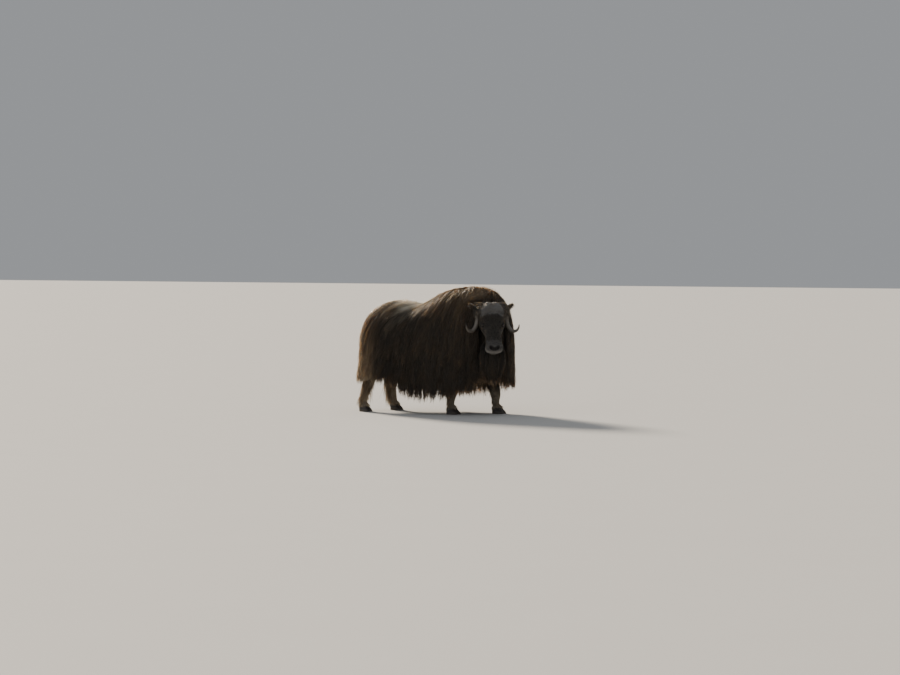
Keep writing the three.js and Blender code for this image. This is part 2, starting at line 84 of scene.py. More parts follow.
def body_to_head(points: Array) -> Array:
    """Moves points from the body's layout to the head's own frame."""
    return (points - POLL) @ HEAD_AXES


def frame_offset() -> Array:
    """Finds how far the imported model's frame lies from the layout, from the place of the left eye."""
    low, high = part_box("eye_left")
    return np.array((low + high) / 2) - head_to_body(EYE_CENTRE)


OFFSET = frame_offset()


def through(*stations: tuple[float, float]) -> Curve:
    """Makes a smooth curve through stations, level past both ends.

    Args:
        stations: Place and value of each station, in order of place.

    Returns:
        A function from places to values.
    """
    places, values = (np.array(column, float) for column in zip(*stations))
    last = len(places) - 1
    before, after = np.maximum(np.arange(last + 1) - 1, 0), np.minimum(np.arange(last + 1) + 1, last)
    slopes = (values[after] - values[before]) / (places[after] - places[before])

    def curve(at: Array) -> Array:
        """Gives the values at some places."""
        at = np.clip(np.asarray(at, float), places[0], places[-1])
        i = np.clip(np.searchsorted(places, at, side="right") - 1, 0, last - 1)
        length = places[i + 1] - places[i]
        t = (at - places[i]) / length
        return (
            values[i] * (2 * t**3 - 3 * t**2 + 1)
            + values[i + 1] * (3 * t**2 - 2 * t**3)
            + length * (slopes[i] * (t**3 - 2 * t**2 + t) + slopes[i + 1] * (t**3 - t**2))
        )

    return curve


def mix(low: Array, high: Array, share: Array) -> Array:
    """Blends from one value to another."""
    return low + (high - low) * share


def rise(low: float, high: float, at: Array) -> Array:
    """Goes smoothly from 0 at `low` to 1 at `high`."""
    t = np.clip((at - low) / (high - low), 0, 1)
    return t * t * (3 - 2 * t)


def bump(distance: Array, width: float) -> Array:
    """Gives a bell curve of height 1."""
    return np.exp(-((distance / width) ** 2) / 2)


def power(value: Array, exponent: float) -> Array:
    """Raises the size of a value to a power and keeps its sign."""
    return np.sign(value) * np.abs(value) ** exponent


def unit(vectors: Array) -> Array:
    """Scales vectors to length 1."""
    return vectors / np.maximum(np.linalg.norm(vectors, axis=-1, keepdims=True), 1e-9)


def level(value: float) -> Curve:
    """Makes a curve that is the same everywhere."""
    return lambda at: np.full(np.shape(at), value)


def rearward(around: Array) -> Array:
    """Tells how far a place round the body lies to its rear, from 0 at the sides to 1."""
    return np.clip(-np.cos(around * TAU), 0, 1)


def folded(points: Array) -> tuple[Array, Array, Array]:
    """Gives X of points, their distance from the middle plane, and Z."""
    return points[..., 0], np.abs(points[..., 1]), points[..., 2]


def thinned(halves: tuple[Curve, Curve], inset: Array | float) -> tuple[Curve, Curve]:
    """Takes some thickness off both half-widths of a tube."""
    return lambda t: halves[0](t) - inset, lambda t: halves[1](t) - inset


def grid(rings: int, columns: int, low: float = 0.0, high: float = 1.0) -> tuple[Array, Array]:
    """Gives the places of a grid of vertices.

    Args:
        rings: How many rings it has.
        columns: How many vertices are in each ring.
        low: Share of the way along of the first ring.
        high: Share of the way along of the last ring.

    Returns:
        Share of the way round, and share of the way along, of each vertex.
    """
    along, around = np.meshgrid(np.linspace(low, high, rings), np.arange(columns) / columns, indexing="ij")
    return around.ravel(), along.ravel()


def surface_ways(place: Surface, u: Array, v: Array, step: float) -> tuple[Array, Array]:
    """Measures how a surface runs round and along.

    Args:
        place: The surface.
        u: Share of the way round of each place.
        v: Share of the way along of each place.
        step: How far apart the places that it compares are.

    Returns:
        A step of the way round and a step of the way along, at each place.
    """
    round_way = place(u + step, v) - place(u - step, v)
    return round_way, place(u, np.clip(v + step, 0, 1)) - place(u, np.clip(v - step, 0, 1))


def mirrored(points: Array, side: int) -> Array:
    """Mirrors points of the left side to the other side where `side` is -1."""
    return np.asarray(points, float) * (1, side, 1)


def path_points(stations: Array, at: Array) -> Array:
    """Follows a centripetal Catmull-Rom curve through stations.

    Args:
        stations: The points that the curve passes through.
        at: Shares of the way along, from 0 to 1.

    Returns:
        One point for each share.
    """
    ends = np.vstack((2 * stations[0] - stations[1], stations, 2 * stations[-1] - stations[-2]))
    place = np.clip(at, 0, 1) * (len(stations) - 1)
    i = np.minimum(place.astype(int), len(stations) - 2)
    t = (place - i)[:, None]
    a, b, c, d = (ends[i + k] for k in range(4))
    pairs = ((a, b), (b, c), (c, d))
    first, middle, last = (np.linalg.norm(q - p, axis=1, keepdims=True) ** 0.5 for p, q in pairs)
    start = ((b - a) / first - (c - a) / (first + middle)) * middle + (c - b)
    stop = (c - b) - ((d - b) / (middle + last) - (d - c) / last) * middle
    return b + start * t + (3 * (c - b) - 2 * start - stop) * t**2 + (2 * (b - c) + start + stop) * t**3


def path_way(stations: Array, at: Array) -> Array:
    """Gives the direction of a curve through stations."""
    return unit(path_points(stations, at + PATH_STEP) - path_points(stations, at - PATH_STEP))


def tube_points(stations: Array, halves: tuple[Curve, Curve], fore: Sequence[float], upright: bool,
                around: Array, along: Array) -> Array:
    """Gives points on a tapered tube along a curved path.

    Args:
        stations: The points that the middle passes through.
        halves: Half-widths towards `fore` and across it, over the share of the way along.
        fore: The direction of the first half-width.
        upright: Whether the rings are level instead of square to the path.
        around: Share of the way round of each point.
        along: Share of the way along of each point.

    Returns:
        The points.
    """
    tangent = np.tile((0.0, 0.0, 1.0), (len(along), 1)) if upright else path_way(stations, along)
    first = unit(np.array(fore, float) - tangent * (tangent @ np.array(fore, float))[:, None])
    second = np.cross(tangent, first)
    angle = around[:, None] * TAU
    across = first * halves[0](along)[:, None] * np.cos(angle)
    return path_points(stations, along) + across + second * halves[1](along)[:, None] * np.sin(angle)


@dataclass
class Layer:
    """One layer of the body's bell, such as the flesh or the tips of the coat."""

    half_length: float
    half_width: float
    top: Curve
    widest: float
    belly: float
    keel: float


@dataclass
class Bell:
    """The body in its coat: flow lines leave a ridge, fan out over a dome, and hang down to a hem."""

    centre: tuple[float, float]
    heading: float
    plan: float
    dome: float
    fan: float
    flare: Callable[[Array], Array]
    hem: Callable[[Array], Array]
    tips: Layer
    flesh: Layer

    def layer(self, size: Layer, around: Array, drop: Array, hanging: bool) -> Array:
        """Gives points on one layer.

        Args:
            size: The layer.
            around: Share of the way round, from the front to the animal's left.
            drop: 0 on the ridge, 0.5 on the widest line, 1 at the hem or under the belly.
            hanging: Whether the lower half hangs as a curtain instead of closing under the belly.

        Returns:
            The points.
        """
        c, s = np.cos(around * TAU), np.sin(around * TAU)
        ridge = (self.tips.half_length - self.fan) * power(c, 2 / self.plan)
        angle = np.clip(drop, 0, 1) * math.pi
        dome_out = np.sin(angle) ** (2 / self.dome)
        top = size.top(ridge + self.centre[0])
        dome_height = mix(size.widest, top, np.clip(np.cos(angle), 0, 1) ** (2 / self.dome))
        if hanging:
            fall = (drop - 0.5) * 2
            low_out = 1 + self.flare(around) * fall * np.abs(fall)
            low_height = mix(size.widest, self.hem(around), fall)
        else:
            low_out = np.sin(angle) ** (2 / size.keel)
            low_height = mix(size.widest, size.belly, np.abs(np.cos(angle)) ** (2 / size.keel))
        upper = drop <= 0.5
        out, height = np.where(upper, dome_out, low_out), np.where(upper, dome_height, low_height)
        x = mix(ridge, size.half_length * power(c, 2 / self.plan), out)
        y = size.half_width * power(s, 2 / self.plan) * out
        turn = math.radians(self.heading)
        return np.stack((
            self.centre[0] + x * math.cos(turn) - y * math.sin(turn),
            self.centre[1] + x * math.sin(turn) + y * math.cos(turn),
            height,
        ), axis=-1)

    def point(self, around: Array, drop: Array, depth: Array, hanging: bool = True) -> Array:
        """Gives points at a depth of hair, from 0 on the flesh to 1 at the tips."""
        flesh = self.layer(self.flesh, around, drop, hanging)
        return mix(flesh, self.layer(self.tips, around, drop, hanging), np.asarray(depth)[..., None])

    def outward(self, around: Array, drop: Array) -> Array:
        """Gives the way out of the coat."""
        tips = self.point(around, drop, np.ones_like(drop))
        return unit(tips - self.point(around, drop, np.zeros_like(drop)))

    def buries(self, points: Array, depth: float) -> Array:
        """Tells which points lie under the dome or behind the curtain.

        Args:
            points: The points.
            depth: The depth of hair at which the surface is taken.

        Returns:
            Whether each point lies there.
        """
        turn = math.radians(-self.heading)
        x, y = points[..., 0] - self.centre[0], points[..., 1] - self.centre[1]
        along, across = x * math.cos(turn) - y * math.sin(turn), x * math.sin(turn) + y * math.cos(turn)
        ridge = self.tips.half_length - self.fan
        length = mix(self.flesh.half_length, self.tips.half_length, depth)
        width = mix(self.flesh.half_width, self.tips.half_width, depth)
        low, high = np.full(x.shape, 1e-3), np.full(x.shape, 1.5)
        for _ in range(16):
            out = (low + high) / 2
            reached = ridge + (length - ridge) * out
            share = (np.abs(along) / reached) ** self.plan + (np.abs(across) / (width * out)) ** self.plan
            low, high = np.where(share > 1, out, low), np.where(share > 1, high, out)
        share = (low + high) / 2
        ridge_x = self.centre[0] + ridge * along / (ridge + (length - ridge) * share)
        top = mix(self.flesh.top(ridge_x), self.tips.top(ridge_x), depth)
        widest = mix(self.flesh.widest, self.tips.widest, depth)
        height = mix(widest, top, (1 - np.clip(share, 0, 1) ** self.dome) ** (1 / self.dome))
        return (share < 1) & (points[..., 2] < height)


FLANK_HEM = 0.150
torso_hem = through((-1, 0.285), (-0.34, 0.262), (-0.12, FLANK_HEM + 0.008), (0.15, FLANK_HEM),
                    (0.5, 0.19), (1, 0.26))
TORSO = Bell(
    centre=(-0.405, 0),
    heading=0,
    plan=2.5,
    dome=2.3,
    fan=0.3,
    flare=lambda around: 0.02 + 0.05 * rearward(around),
    hem=lambda around: torso_hem(np.cos(around * TAU)),
    tips=Layer(
        half_length=0.792,
        half_width=0.372,
        top=through((-0.9, 1.03), (-0.79, 1.078), (-0.66, 1.07), (-0.53, 1.042), (-0.44, 1.085),
                    (-0.32, 1.158), (-0.19, 1.205), (-0.03, 1.222), (0.09, 1.212)),
        widest=0.61,
        belly=0.27,
        keel=3,
    ),
    flesh=Layer(
        half_length=0.69,
        half_width=0.25,
        top=through((-0.9, 0.95), (-0.79, 1.005), (-0.66, 1.008), (-0.53, 0.988), (-0.44, 1.02),
                    (-0.32, 1.075), (-0.19, 1.11), (-0.03, 1.122), (0.09, 1.105)),
        widest=0.72,
        belly=0.47,
        keel=2.4,
    ),
)
THROAT = Bell(
    centre=(0.112, -0.048),
    heading=-30,
    plan=2.3,
    dome=2.5,
    fan=0.205,
    flare=level(-0.12),
    hem=level(0.32),
    tips=Layer(
        half_length=0.3,
        half_width=0.275,
        top=through((0, 1.208), (0.112, 1.178), (0.215, 1.085)),
        widest=0.68,
        belly=0.33,
        keel=4,
    ),
    flesh=Layer(
        half_length=0.2,
        half_width=0.135,
        top=through((0, 1.11), (0.112, 1.075), (0.215, 1.0)),
        widest=0.8,
        belly=0.56,
        keel=2.2,
    ),
)
BEARD = Bell(
    centre=(0.352, -0.312),
    heading=-58,
    plan=2,
    dome=2,
    fan=0.095,
    flare=level(-0.62),
    hem=level(0.315),
    tips=Layer(0.095, 0.132, level(0.8), 0.61, 0.43, 2),
    flesh=Layer(0.035, 0.06, level(0.79), 0.65, 0.54, 2),
)
# The two bells of the upper coat, each with the other one and its share of the tufts
UPPER_BELLS = (("back", TORSO, THROAT, 1), ("neck", THROAT, TORSO, 0.25))


def closed_faces(rings: int, around: int) -> Faces:
    """Joins rings of vertices into a closed surface whose two ends are flat.

    Args:
        rings: How many rings there are.
        around: How many vertices are in each ring.

    Returns:
        The faces.
    """
    faces: Faces = []
    for i in range(rings - 1):
        for j in range(around):
            k = (j + 1) % around
            faces.append((i * around + j, i * around + k, (i + 1) * around + k, (i + 1) * around + j))
    faces.append(tuple(reversed(range(around))))
    faces.append(tuple((rings - 1) * around + j for j in range(around)))
    return faces


def linked(name: str, data: bpy.types.ID) -> bpy.types.Object:
    """Makes an object of a mesh, light or camera and puts it in the scene."""
    thing = bpy.data.objects.new(name, data)
    bpy.context.scene.collection.objects.link(thing)
    return thing


def make_mesh(name: str, points: Array, faces: Faces) -> bpy.types.Object:
    """Makes an object with smooth shading.

    Args:
        name: Its name.
        points: Its vertices, in the layout.
        faces: Its faces.

    Returns:
        The object.
    """
    mesh = bpy.data.meshes.new(name)
    mesh.from_pydata((points + OFFSET).tolist(), [], faces)
    mesh.shade_smooth()
    mesh.update()
    return linked(name, mesh)


def dress(piece: bpy.types.Object, material: bpy.types.Material, slot: str, *nodes: str) -> None:
    """Gives a finished piece its material and its place in the model.

    Args:
        piece: The piece.
        material: Its material.
        slot: Not used.
        nodes: The nodes that it replaces.
    """
    piece.data.materials.clear()
    piece.data.materials.append(material)
    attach(piece, "root")
    if nodes:
        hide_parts(*nodes)
    LOG.info("%s: %d faces", piece.name, len(piece.data.polygons))


def with_modifier(piece: bpy.types.Object, kind: str, **settings: object) -> None:
    """Puts a modifier on a piece and applies it to the mesh.

    Args:
        piece: The piece.
        kind: The type of modifier.
        settings: Its settings.
    """
    modifier = piece.modifiers.new(kind, kind)
    for key, value in settings.items():
        setattr(modifier, key, value)
    graph = bpy.context.evaluated_depsgraph_get()
    made = bpy.data.meshes.new_from_object(piece.evaluated_get(graph))
    piece.modifiers.clear()
    spent = piece.data
    piece.data = made
    bpy.data.meshes.remove(spent)


def joined(name: str, pieces: Sequence[bpy.types.Object]) -> bpy.types.Object:
    """Joins pieces into one mesh without fusing them, and removes the pieces.

    Args:
        name: The name of the mesh.
        pieces: The pieces.

    Returns:
        The object with all of them.
    """
    points: list[Array] = []
    faces: Faces = []
    count = 0
    for piece in pieces:
        points.append(vertex_places(piece) - OFFSET)
        faces.extend(tuple(v + count for v in polygon.vertices) for polygon in piece.data.polygons)
        count += len(piece.data.vertices)
        bpy.data.objects.remove(piece)
    return make_mesh(name, np.vstack(points), faces)


def vertex_places(piece: bpy.types.Object) -> Array:
    """Reads the places of a piece's vertices."""
    places = np.empty(len(piece.data.vertices) * 3)
    piece.data.vertices.foreach_get("co", places)
    return places.reshape(-1, 3)


def set_attribute(mesh: bpy.types.Mesh, name: str, values: Array) -> None:
    """Stores a number or a colour for each vertex.

    Args:
        mesh: The mesh.
        name: The name of the attribute.
        values: One number or one row of red, green and blue for each vertex.
    """
    kind, key = "FLOAT", "value"
    if values.ndim == 2:
        kind, key = "FLOAT_COLOR", "color"
        values = np.concatenate((values, np.ones((len(values), 1))), axis=1)
    attribute = mesh.attributes.new(name, kind, "POINT")
    attribute.data.foreach_set(key, np.ascontiguousarray(values, np.float32).ravel())


@dataclass(frozen=True)
class Form:
    """A swelling or hollow of the face: where it is, how wide it spreads and how far it stands out."""

    at: tuple[float, float, float]
    spread: float
    out: float


@dataclass
class HeadForm:
    """The head's surface in its own frame: X from the back of the skull to the nose, +Z out of the brow."""

    back: float = -0.060
    length: float = 0.485
    nose_round: float = 0.062
    skull_round: float = 0.070
    closing: tuple[float, float] = (2.4, 2.6)
    squareness: float = 0.86
    half_width: Curve = through((-0.04, 0.078), (0.04, 0.108), (0.12, 0.112), (0.195, 0.1), (0.26, 0.084),
                                (0.33, 0.076), (0.4, 0.078), (0.45, 0.08), (0.485, 0.066))
    above: Curve = through((-0.04, 0.072), (0.03, 0.096), (0.09, 0.092), (0.16, 0.082), (0.24, 0.072),
                           (0.33, 0.062), (0.41, 0.057), (0.46, 0.05), (0.485, 0.04))
    below: Curve = through((-0.04, 0.08), (0.04, 0.118), (0.12, 0.13), (0.2, 0.118), (0.28, 0.098),
                           (0.35, 0.086), (0.41, 0.084), (0.45, 0.082), (0.485, 0.066))
    forms: tuple[Form, ...] = (
        Form((0.200, 0.104, 0.042), 0.027, 0.016),
        Form((0.168, 0.084, 0.076), 0.024, 0.009),
        Form((0.120, 0.112, -0.062), 0.046, 0.012),
        Form((0.270, 0.084, 0.004), 0.032, -0.008),
        Form((0.455, 0.044, 0.034), 0.020, 0.009),
        Form((0.460, 0.050, -0.020), 0.022, 0.008),
        Form((0.445, 0.0, -0.084), 0.028, 0.013),
        Form((0.350, 0.0, 0.062), 0.055, 0.007),
    )
    mouth_back: float = 0.352
    mouth_height: float = -0.042
    mouth_slope: float = 0.12
    lip_depth: float = 0.0075
    lid_opening: tuple[float, float] = (0.0172, 0.0112)
    lid_rim: float = 0.0197
    under_eyeball: float = 0.0145
    nostril: tuple[float, float] = (0.0195, 0.0076)
    nostril_slant: float = math.radians(38)
    nostril_depth: float = 0.017
    eye_out: Array = field(default_factory=lambda: unit(np.array((0.42, 0.85, 0.32))))

    def place(self, u: Array, v: Array, inset: Array | float = 0.0) -> Array:
        """Gives points of the head.

        Args:
            u: Share of the way round, from the top to the animal's left.
            v: Share of the way along, from the back of the skull to the nose.
            inset: How deep the points lie in the head.

        Returns:
            The points, in the head's frame.
        """
        x = mix(self.back, self.length, (1 - np.cos(v * math.pi)) / 2)
        rear = np.clip((x - self.back) / self.skull_round, 0, 1)
        front = np.clip((self.length - x) / self.nose_round, 0, 1)
        skull, nose = self.closing
        closing = (1 - (1 - rear) ** skull) ** (1 / skull) * (1 - (1 - front) ** nose) ** (1 / nose)
        c, s = power(np.cos(u * TAU), self.squareness), power(np.sin(u * TAU), self.squareness)
        height = np.where(c > 0, self.above(x), self.below(x))
        points = np.stack((x, self.half_width(x) * s * closing, height * c * closing), axis=-1)
        outward = points.copy()
        outward[..., 0] = np.maximum(0, x - self.length + self.nose_round) + np.minimum(
            0, x - self.back - self.skull_round)
        outward = unit(outward)
        left = np.stack(folded(points), axis=-1)
        swellings = sum(form.out * bump(np.linalg.norm(left - np.array(form.at), axis=-1), form.spread)
                        for form in self.forms)
        return points + outward * (-np.asarray(inset, float) + swellings)[..., None]

    def normal(self, u: Array, v: Array) -> Array:
        """Gives the way out of the head's surface."""
        round_way, long_way = surface_ways(self.place, u, v, HEAD_STEP)
        return unit(np.cross(long_way, round_way))

    def eye_place(self, points: Array) -> tuple[Array, Array, Array]:
        """Measures points from the nearer eye: along the lids towards the nose, up, and out of the head."""
        away = np.stack(folded(points), axis=-1) - EYE_CENTRE
        along, up = self.eye_axes()
        return away @ along, away @ up, away @ self.eye_out

    def eye_axes(self) -> tuple[Array, Array]:
        """Gives the left eye's own axes: towards the nose with a little rise, and up."""
        along = np.array((1.0, 0.0, 0.28))
        along = unit(along - self.eye_out * (along @ self.eye_out))
        return along, unit(np.cross(along, self.eye_out))

    def mouth_place(self, points: Array) -> Array:
        """Measures how far points lie above the line of the mouth."""
        line = self.mouth_height - (self.mouth_back - points[..., 0]) * self.mouth_slope
        sag = 0.006 * bump(points[..., 0] - self.length, 0.03)
        return points[..., 2] - line + sag

    def lid_place(self, points: Array) -> Array:
        """Measures how far points lie from the middle of the nearer eye: 1 is the edge of the lids."""
        a, b, _ = self.eye_place(points)
        half_length, half_height = self.lid_opening
        upper = 1 - 0.25 * (a / half_length) ** 2 * (b > 0)
        return np.sqrt((a / half_length) ** 2 + (b / (half_height * upper)) ** 2)

    def with_lids(self, points: Array) -> Array:
        """Opens the skin over the eyeballs and folds it into lids.

        Args:
            points: Points of the head's plain surface.

        Returns:
            The points, moved.
        """
        a, b, c = self.eye_place(points)
        opening = self.lid_place(points)
        reach = np.hypot(a, b)
        socket = np.sqrt(np.maximum(self.under_eyeball**2 - reach**2, 0.001**2))
        lid = np.sqrt(np.maximum(self.lid_rim**2 - reach**2, 0.004**2))
        upper = rise(-0.002, 0.004, b)
        lid = lid + 0.0012 * bump(opening - 1.18, 0.14) * (1 + upper)
        crease = -0.0022 * bump(opening - 1.85, 0.16) * upper
        crease -= 0.0012 * bump(opening - 1.8, 0.2) * (1 - upper)
        bag = -0.0010 * bump(opening - 2.6, 0.16) * (1 - upper)
        target = np.where(opening < 1, mix(socket, lid, rise(0.88, 1.04, opening)), lid)
        near = (1 - rise(1.45, 2.9, opening)) * rise(-0.004, 0.004, c)
        moved = mix(c, target, near) + (crease + bag) * rise(-0.004, 0.004, c)
        tear = -0.003 * bump(np.hypot(a - 0.0215, b + 0.003), 0.0035)
        out = np.where(points[..., 1:2] < 0, self.eye_out * (1, -1, 1), self.eye_out)
        return points + out * (moved - c + tear * near)[..., None]

    def with_muzzle(self, points: Array, normal: Array) -> Array:
        """Cuts the nostrils and the line of the mouth, and rolls the lips.

        Args:
            points: Points of the head's surface.
            normal: The way out of the surface at each.

        Returns:
            The points, moved.
        """
        x, y, z = folded(points)
        across, height = y - 0.036, z - 0.030
        cosine, sine = math.cos(self.nostril_slant), math.sin(self.nostril_slant)
        p = across * cosine + height * sine
        q = height * cosine - across * sine + 9 * p**2
        nostril = np.sqrt((p / self.nostril[0]) ** 2 + (q / self.nostril[1]) ** 2)
        front = rise(0.425, 0.455, x)
        depth = self.nostril_depth * (1 - rise(0.35, 1.1, nostril)) * front
        wing = 0.0028 * bump(nostril - 1.45, 0.24) * front
        above = self.mouth_place(points)
        along = rise(self.mouth_back - 0.004, self.mouth_back + 0.03, x)
        groove = self.lip_depth * bump(above, 0.0017) * along
        lips = (0.0026 * bump(above - 0.006, 0.0035) + 0.0030 * bump(above + 0.0065, 0.0038)) * along
        philtrum = 0.002 * bump(points[..., 1], 0.0016) * rise(0.44, 0.47, x) * rise(0, 0.006, above)
        inward = np.stack((np.full(depth.shape, -0.92), -0.3 * np.sign(points[..., 1]),
                           np.full(depth.shape, -0.1)), axis=-1)
        return points + inward * depth[..., None] + normal * (wing + lips - groove - philtrum)[..., None]

    def with_folds(self, points: Array, normal: Array) -> Array:
        """Adds small folds round the nose and on the cheeks.

        Args:
            points: Points of the head's surface.
            normal: The way out of the surface at each.

        Returns:
            The points, moved.
        """
        x, y, z = folded(points)
        wrinkles = np.sin((x + 0.35 * y) / 0.0042) * 0.0006 * bump(x - 0.418, 0.018) * rise(0.0, 0.02, z)
        cheek = 0.0008 * bump(z + 0.02 + 0.3 * (x - 0.25), 0.008) * bump(x - 0.27, 0.06) * rise(0.03, 0.06, y)
        return points + normal * (wrinkles + cheek)[..., None]


HEAD = HeadForm()


@dataclass
class EarForm:
    """An ear: a round leaf that is cupped towards the front."""

    path: Array = field(default_factory=lambda: np.array((
        (0.004, 0.070, -0.032), (-0.028, 0.128, -0.008), (-0.054, 0.174, 0.016), (-0.074, 0.206, 0.038))))
    front: tuple[float, float, float] = (1, 0, -0.2)
    width: Curve = through((0, 0.014), (0.3, 0.026), (0.6, 0.030), (0.85, 0.020), (1, 0.005))
    depth: Curve = through((0, 0.012), (0.4, 0.017), (0.7, 0.015), (1, 0.004))
    wall: float = 0.0045

    def place(self, u: Array, t: Array, out: Array | float = 0.0) -> Array:
        """Gives points of the left ear.

        Args:
            u: Share of the way round, from the middle of the cup.
            t: Share of the way from root to tip.
            out: How far the points lie off the back of the ear.

        Returns:
            The points, in the head's frame.
        """
        tangent = path_way(self.path, t)
        fore = np.array(self.front)
        first = unit(fore - tangent * (tangent @ fore)[:, None])
        second = np.cross(tangent, first)
        across = np.sin(u * TAU)
        arch = np.sqrt(np.maximum(1 - across**2, 0))
        back = -self.depth(t) * arch
        cupped = back + self.wall * np.maximum(1 - across**8, 0) ** 0.5
        front = mix(self.depth(t) * arch, cupped, rise(0.16, 0.42, t))
        away = np.where(np.cos(u * TAU) > 0, front, back - out)
        aside = across * (self.width(t) + out * np.abs(across))
        return path_points(self.path, t) + first * away[:, None] + second * aside[:, None]


EAR = EarForm()


class Foot(Enum):
    """Which pair a leg belongs to."""

    FORE = "fore"
    HIND = "hind"


@dataclass
class Leg:
    """A leg: its path from inside the body down to the hoof, and the size of its hoof."""

    name: str
    foot: Foot
    path: Array
    hoof_length: float
    hoof_width: float
    heading: float

    def halves(self) -> tuple[Curve, Curve]:
        """Gives the half-widths towards the front and across, hair included."""
        if self.foot is Foot.FORE:
            return (through((0, 0.078), (0.3, 0.058), (0.42, 0.05), (0.55, 0.042), (0.78, 0.033), (0.9, 0.04),
                            (1, 0.042)),
                    through((0, 0.06), (0.3, 0.046), (0.42, 0.044), (0.55, 0.036), (0.78, 0.03), (0.9, 0.036),
                            (1, 0.04)))
        return (through((0, 0.095), (0.3, 0.062), (0.45, 0.046), (0.6, 0.036), (0.8, 0.031), (0.9, 0.038),
                        (1, 0.04)),
                through((0, 0.07), (0.3, 0.046), (0.45, 0.038), (0.6, 0.032), (0.8, 0.029), (0.9, 0.034),
                        (1, 0.038)))

    def place(self, around: Array, along: Array, inset: Array | float = 0.0) -> Array:
        """Gives points of the leg, some way inside the outline of its hair."""
        return tube_points(self.path, thinned(self.halves(), inset), (1, 0, 0), True, around, along)


HOOF_TOP = 0.058
LEG_TOP = 0.41
LEGS = (
    Leg("foreleg_left", Foot.FORE,
        np.array(((0.09, 0.135, LEG_TOP), (0.128, 0.142, 0.3), (0.158, 0.145, 0.19), (0.16, 0.145, 0.11),
                  (0.172, 0.145, HOOF_TOP))), 0.062, 0.029, 4),
    Leg("foreleg_right", Foot.FORE,
        np.array(((-0.09, -0.135, LEG_TOP), (-0.128, -0.142, 0.3), (-0.16, -0.145, 0.19),
                  (-0.172, -0.145, 0.11), (-0.165, -0.145, HOOF_TOP))), 0.062, 0.029, -6),
    Leg("hindleg_left", Foot.HIND,
        np.array(((-0.955, 0.15, LEG_TOP + 0.04), (-0.985, 0.165, 0.36), (-0.99, 0.168, 0.25),
                  (-0.972, 0.17, 0.115), (-0.96, 0.17, HOOF_TOP))), 0.058, 0.027, 6),
    Leg("hindleg_right", Foot.HIND,
        np.array(((-0.995, -0.15, LEG_TOP + 0.04), (-1.022, -0.165, 0.36), (-1.062, -0.168, 0.25),
                  (-1.112, -0.17, 0.115), (-1.112, -0.17, HOOF_TOP))), 0.058, 0.027, -8),
)
TAIL_PATH = np.array(((-1.085, 0, 0.88), (-1.15, 0, 0.85), (-1.192, 0, 0.79), (-1.205, 0, 0.72)))
TAIL_HALVES = (through((0, 0.024), (0.6, 0.026), (1, 0.010)), through((0, 0.032), (0.6, 0.036), (1, 0.014)))
UNDER_HAIR = 0.008


def tail_place(u: Array, t: Array) -> Array:
    """Gives points of the tail under its hair."""
    return tube_points(TAIL_PATH, thinned(TAIL_HALVES, UNDER_HAIR), (1, 0, 0), False, u, t)


def over(colours: Array, share: Array, colour: Colour) -> Array:
    """Lays a colour over others where `share` is high."""
    return mix(colours, np.array(colour), np.asarray(share)[..., None])


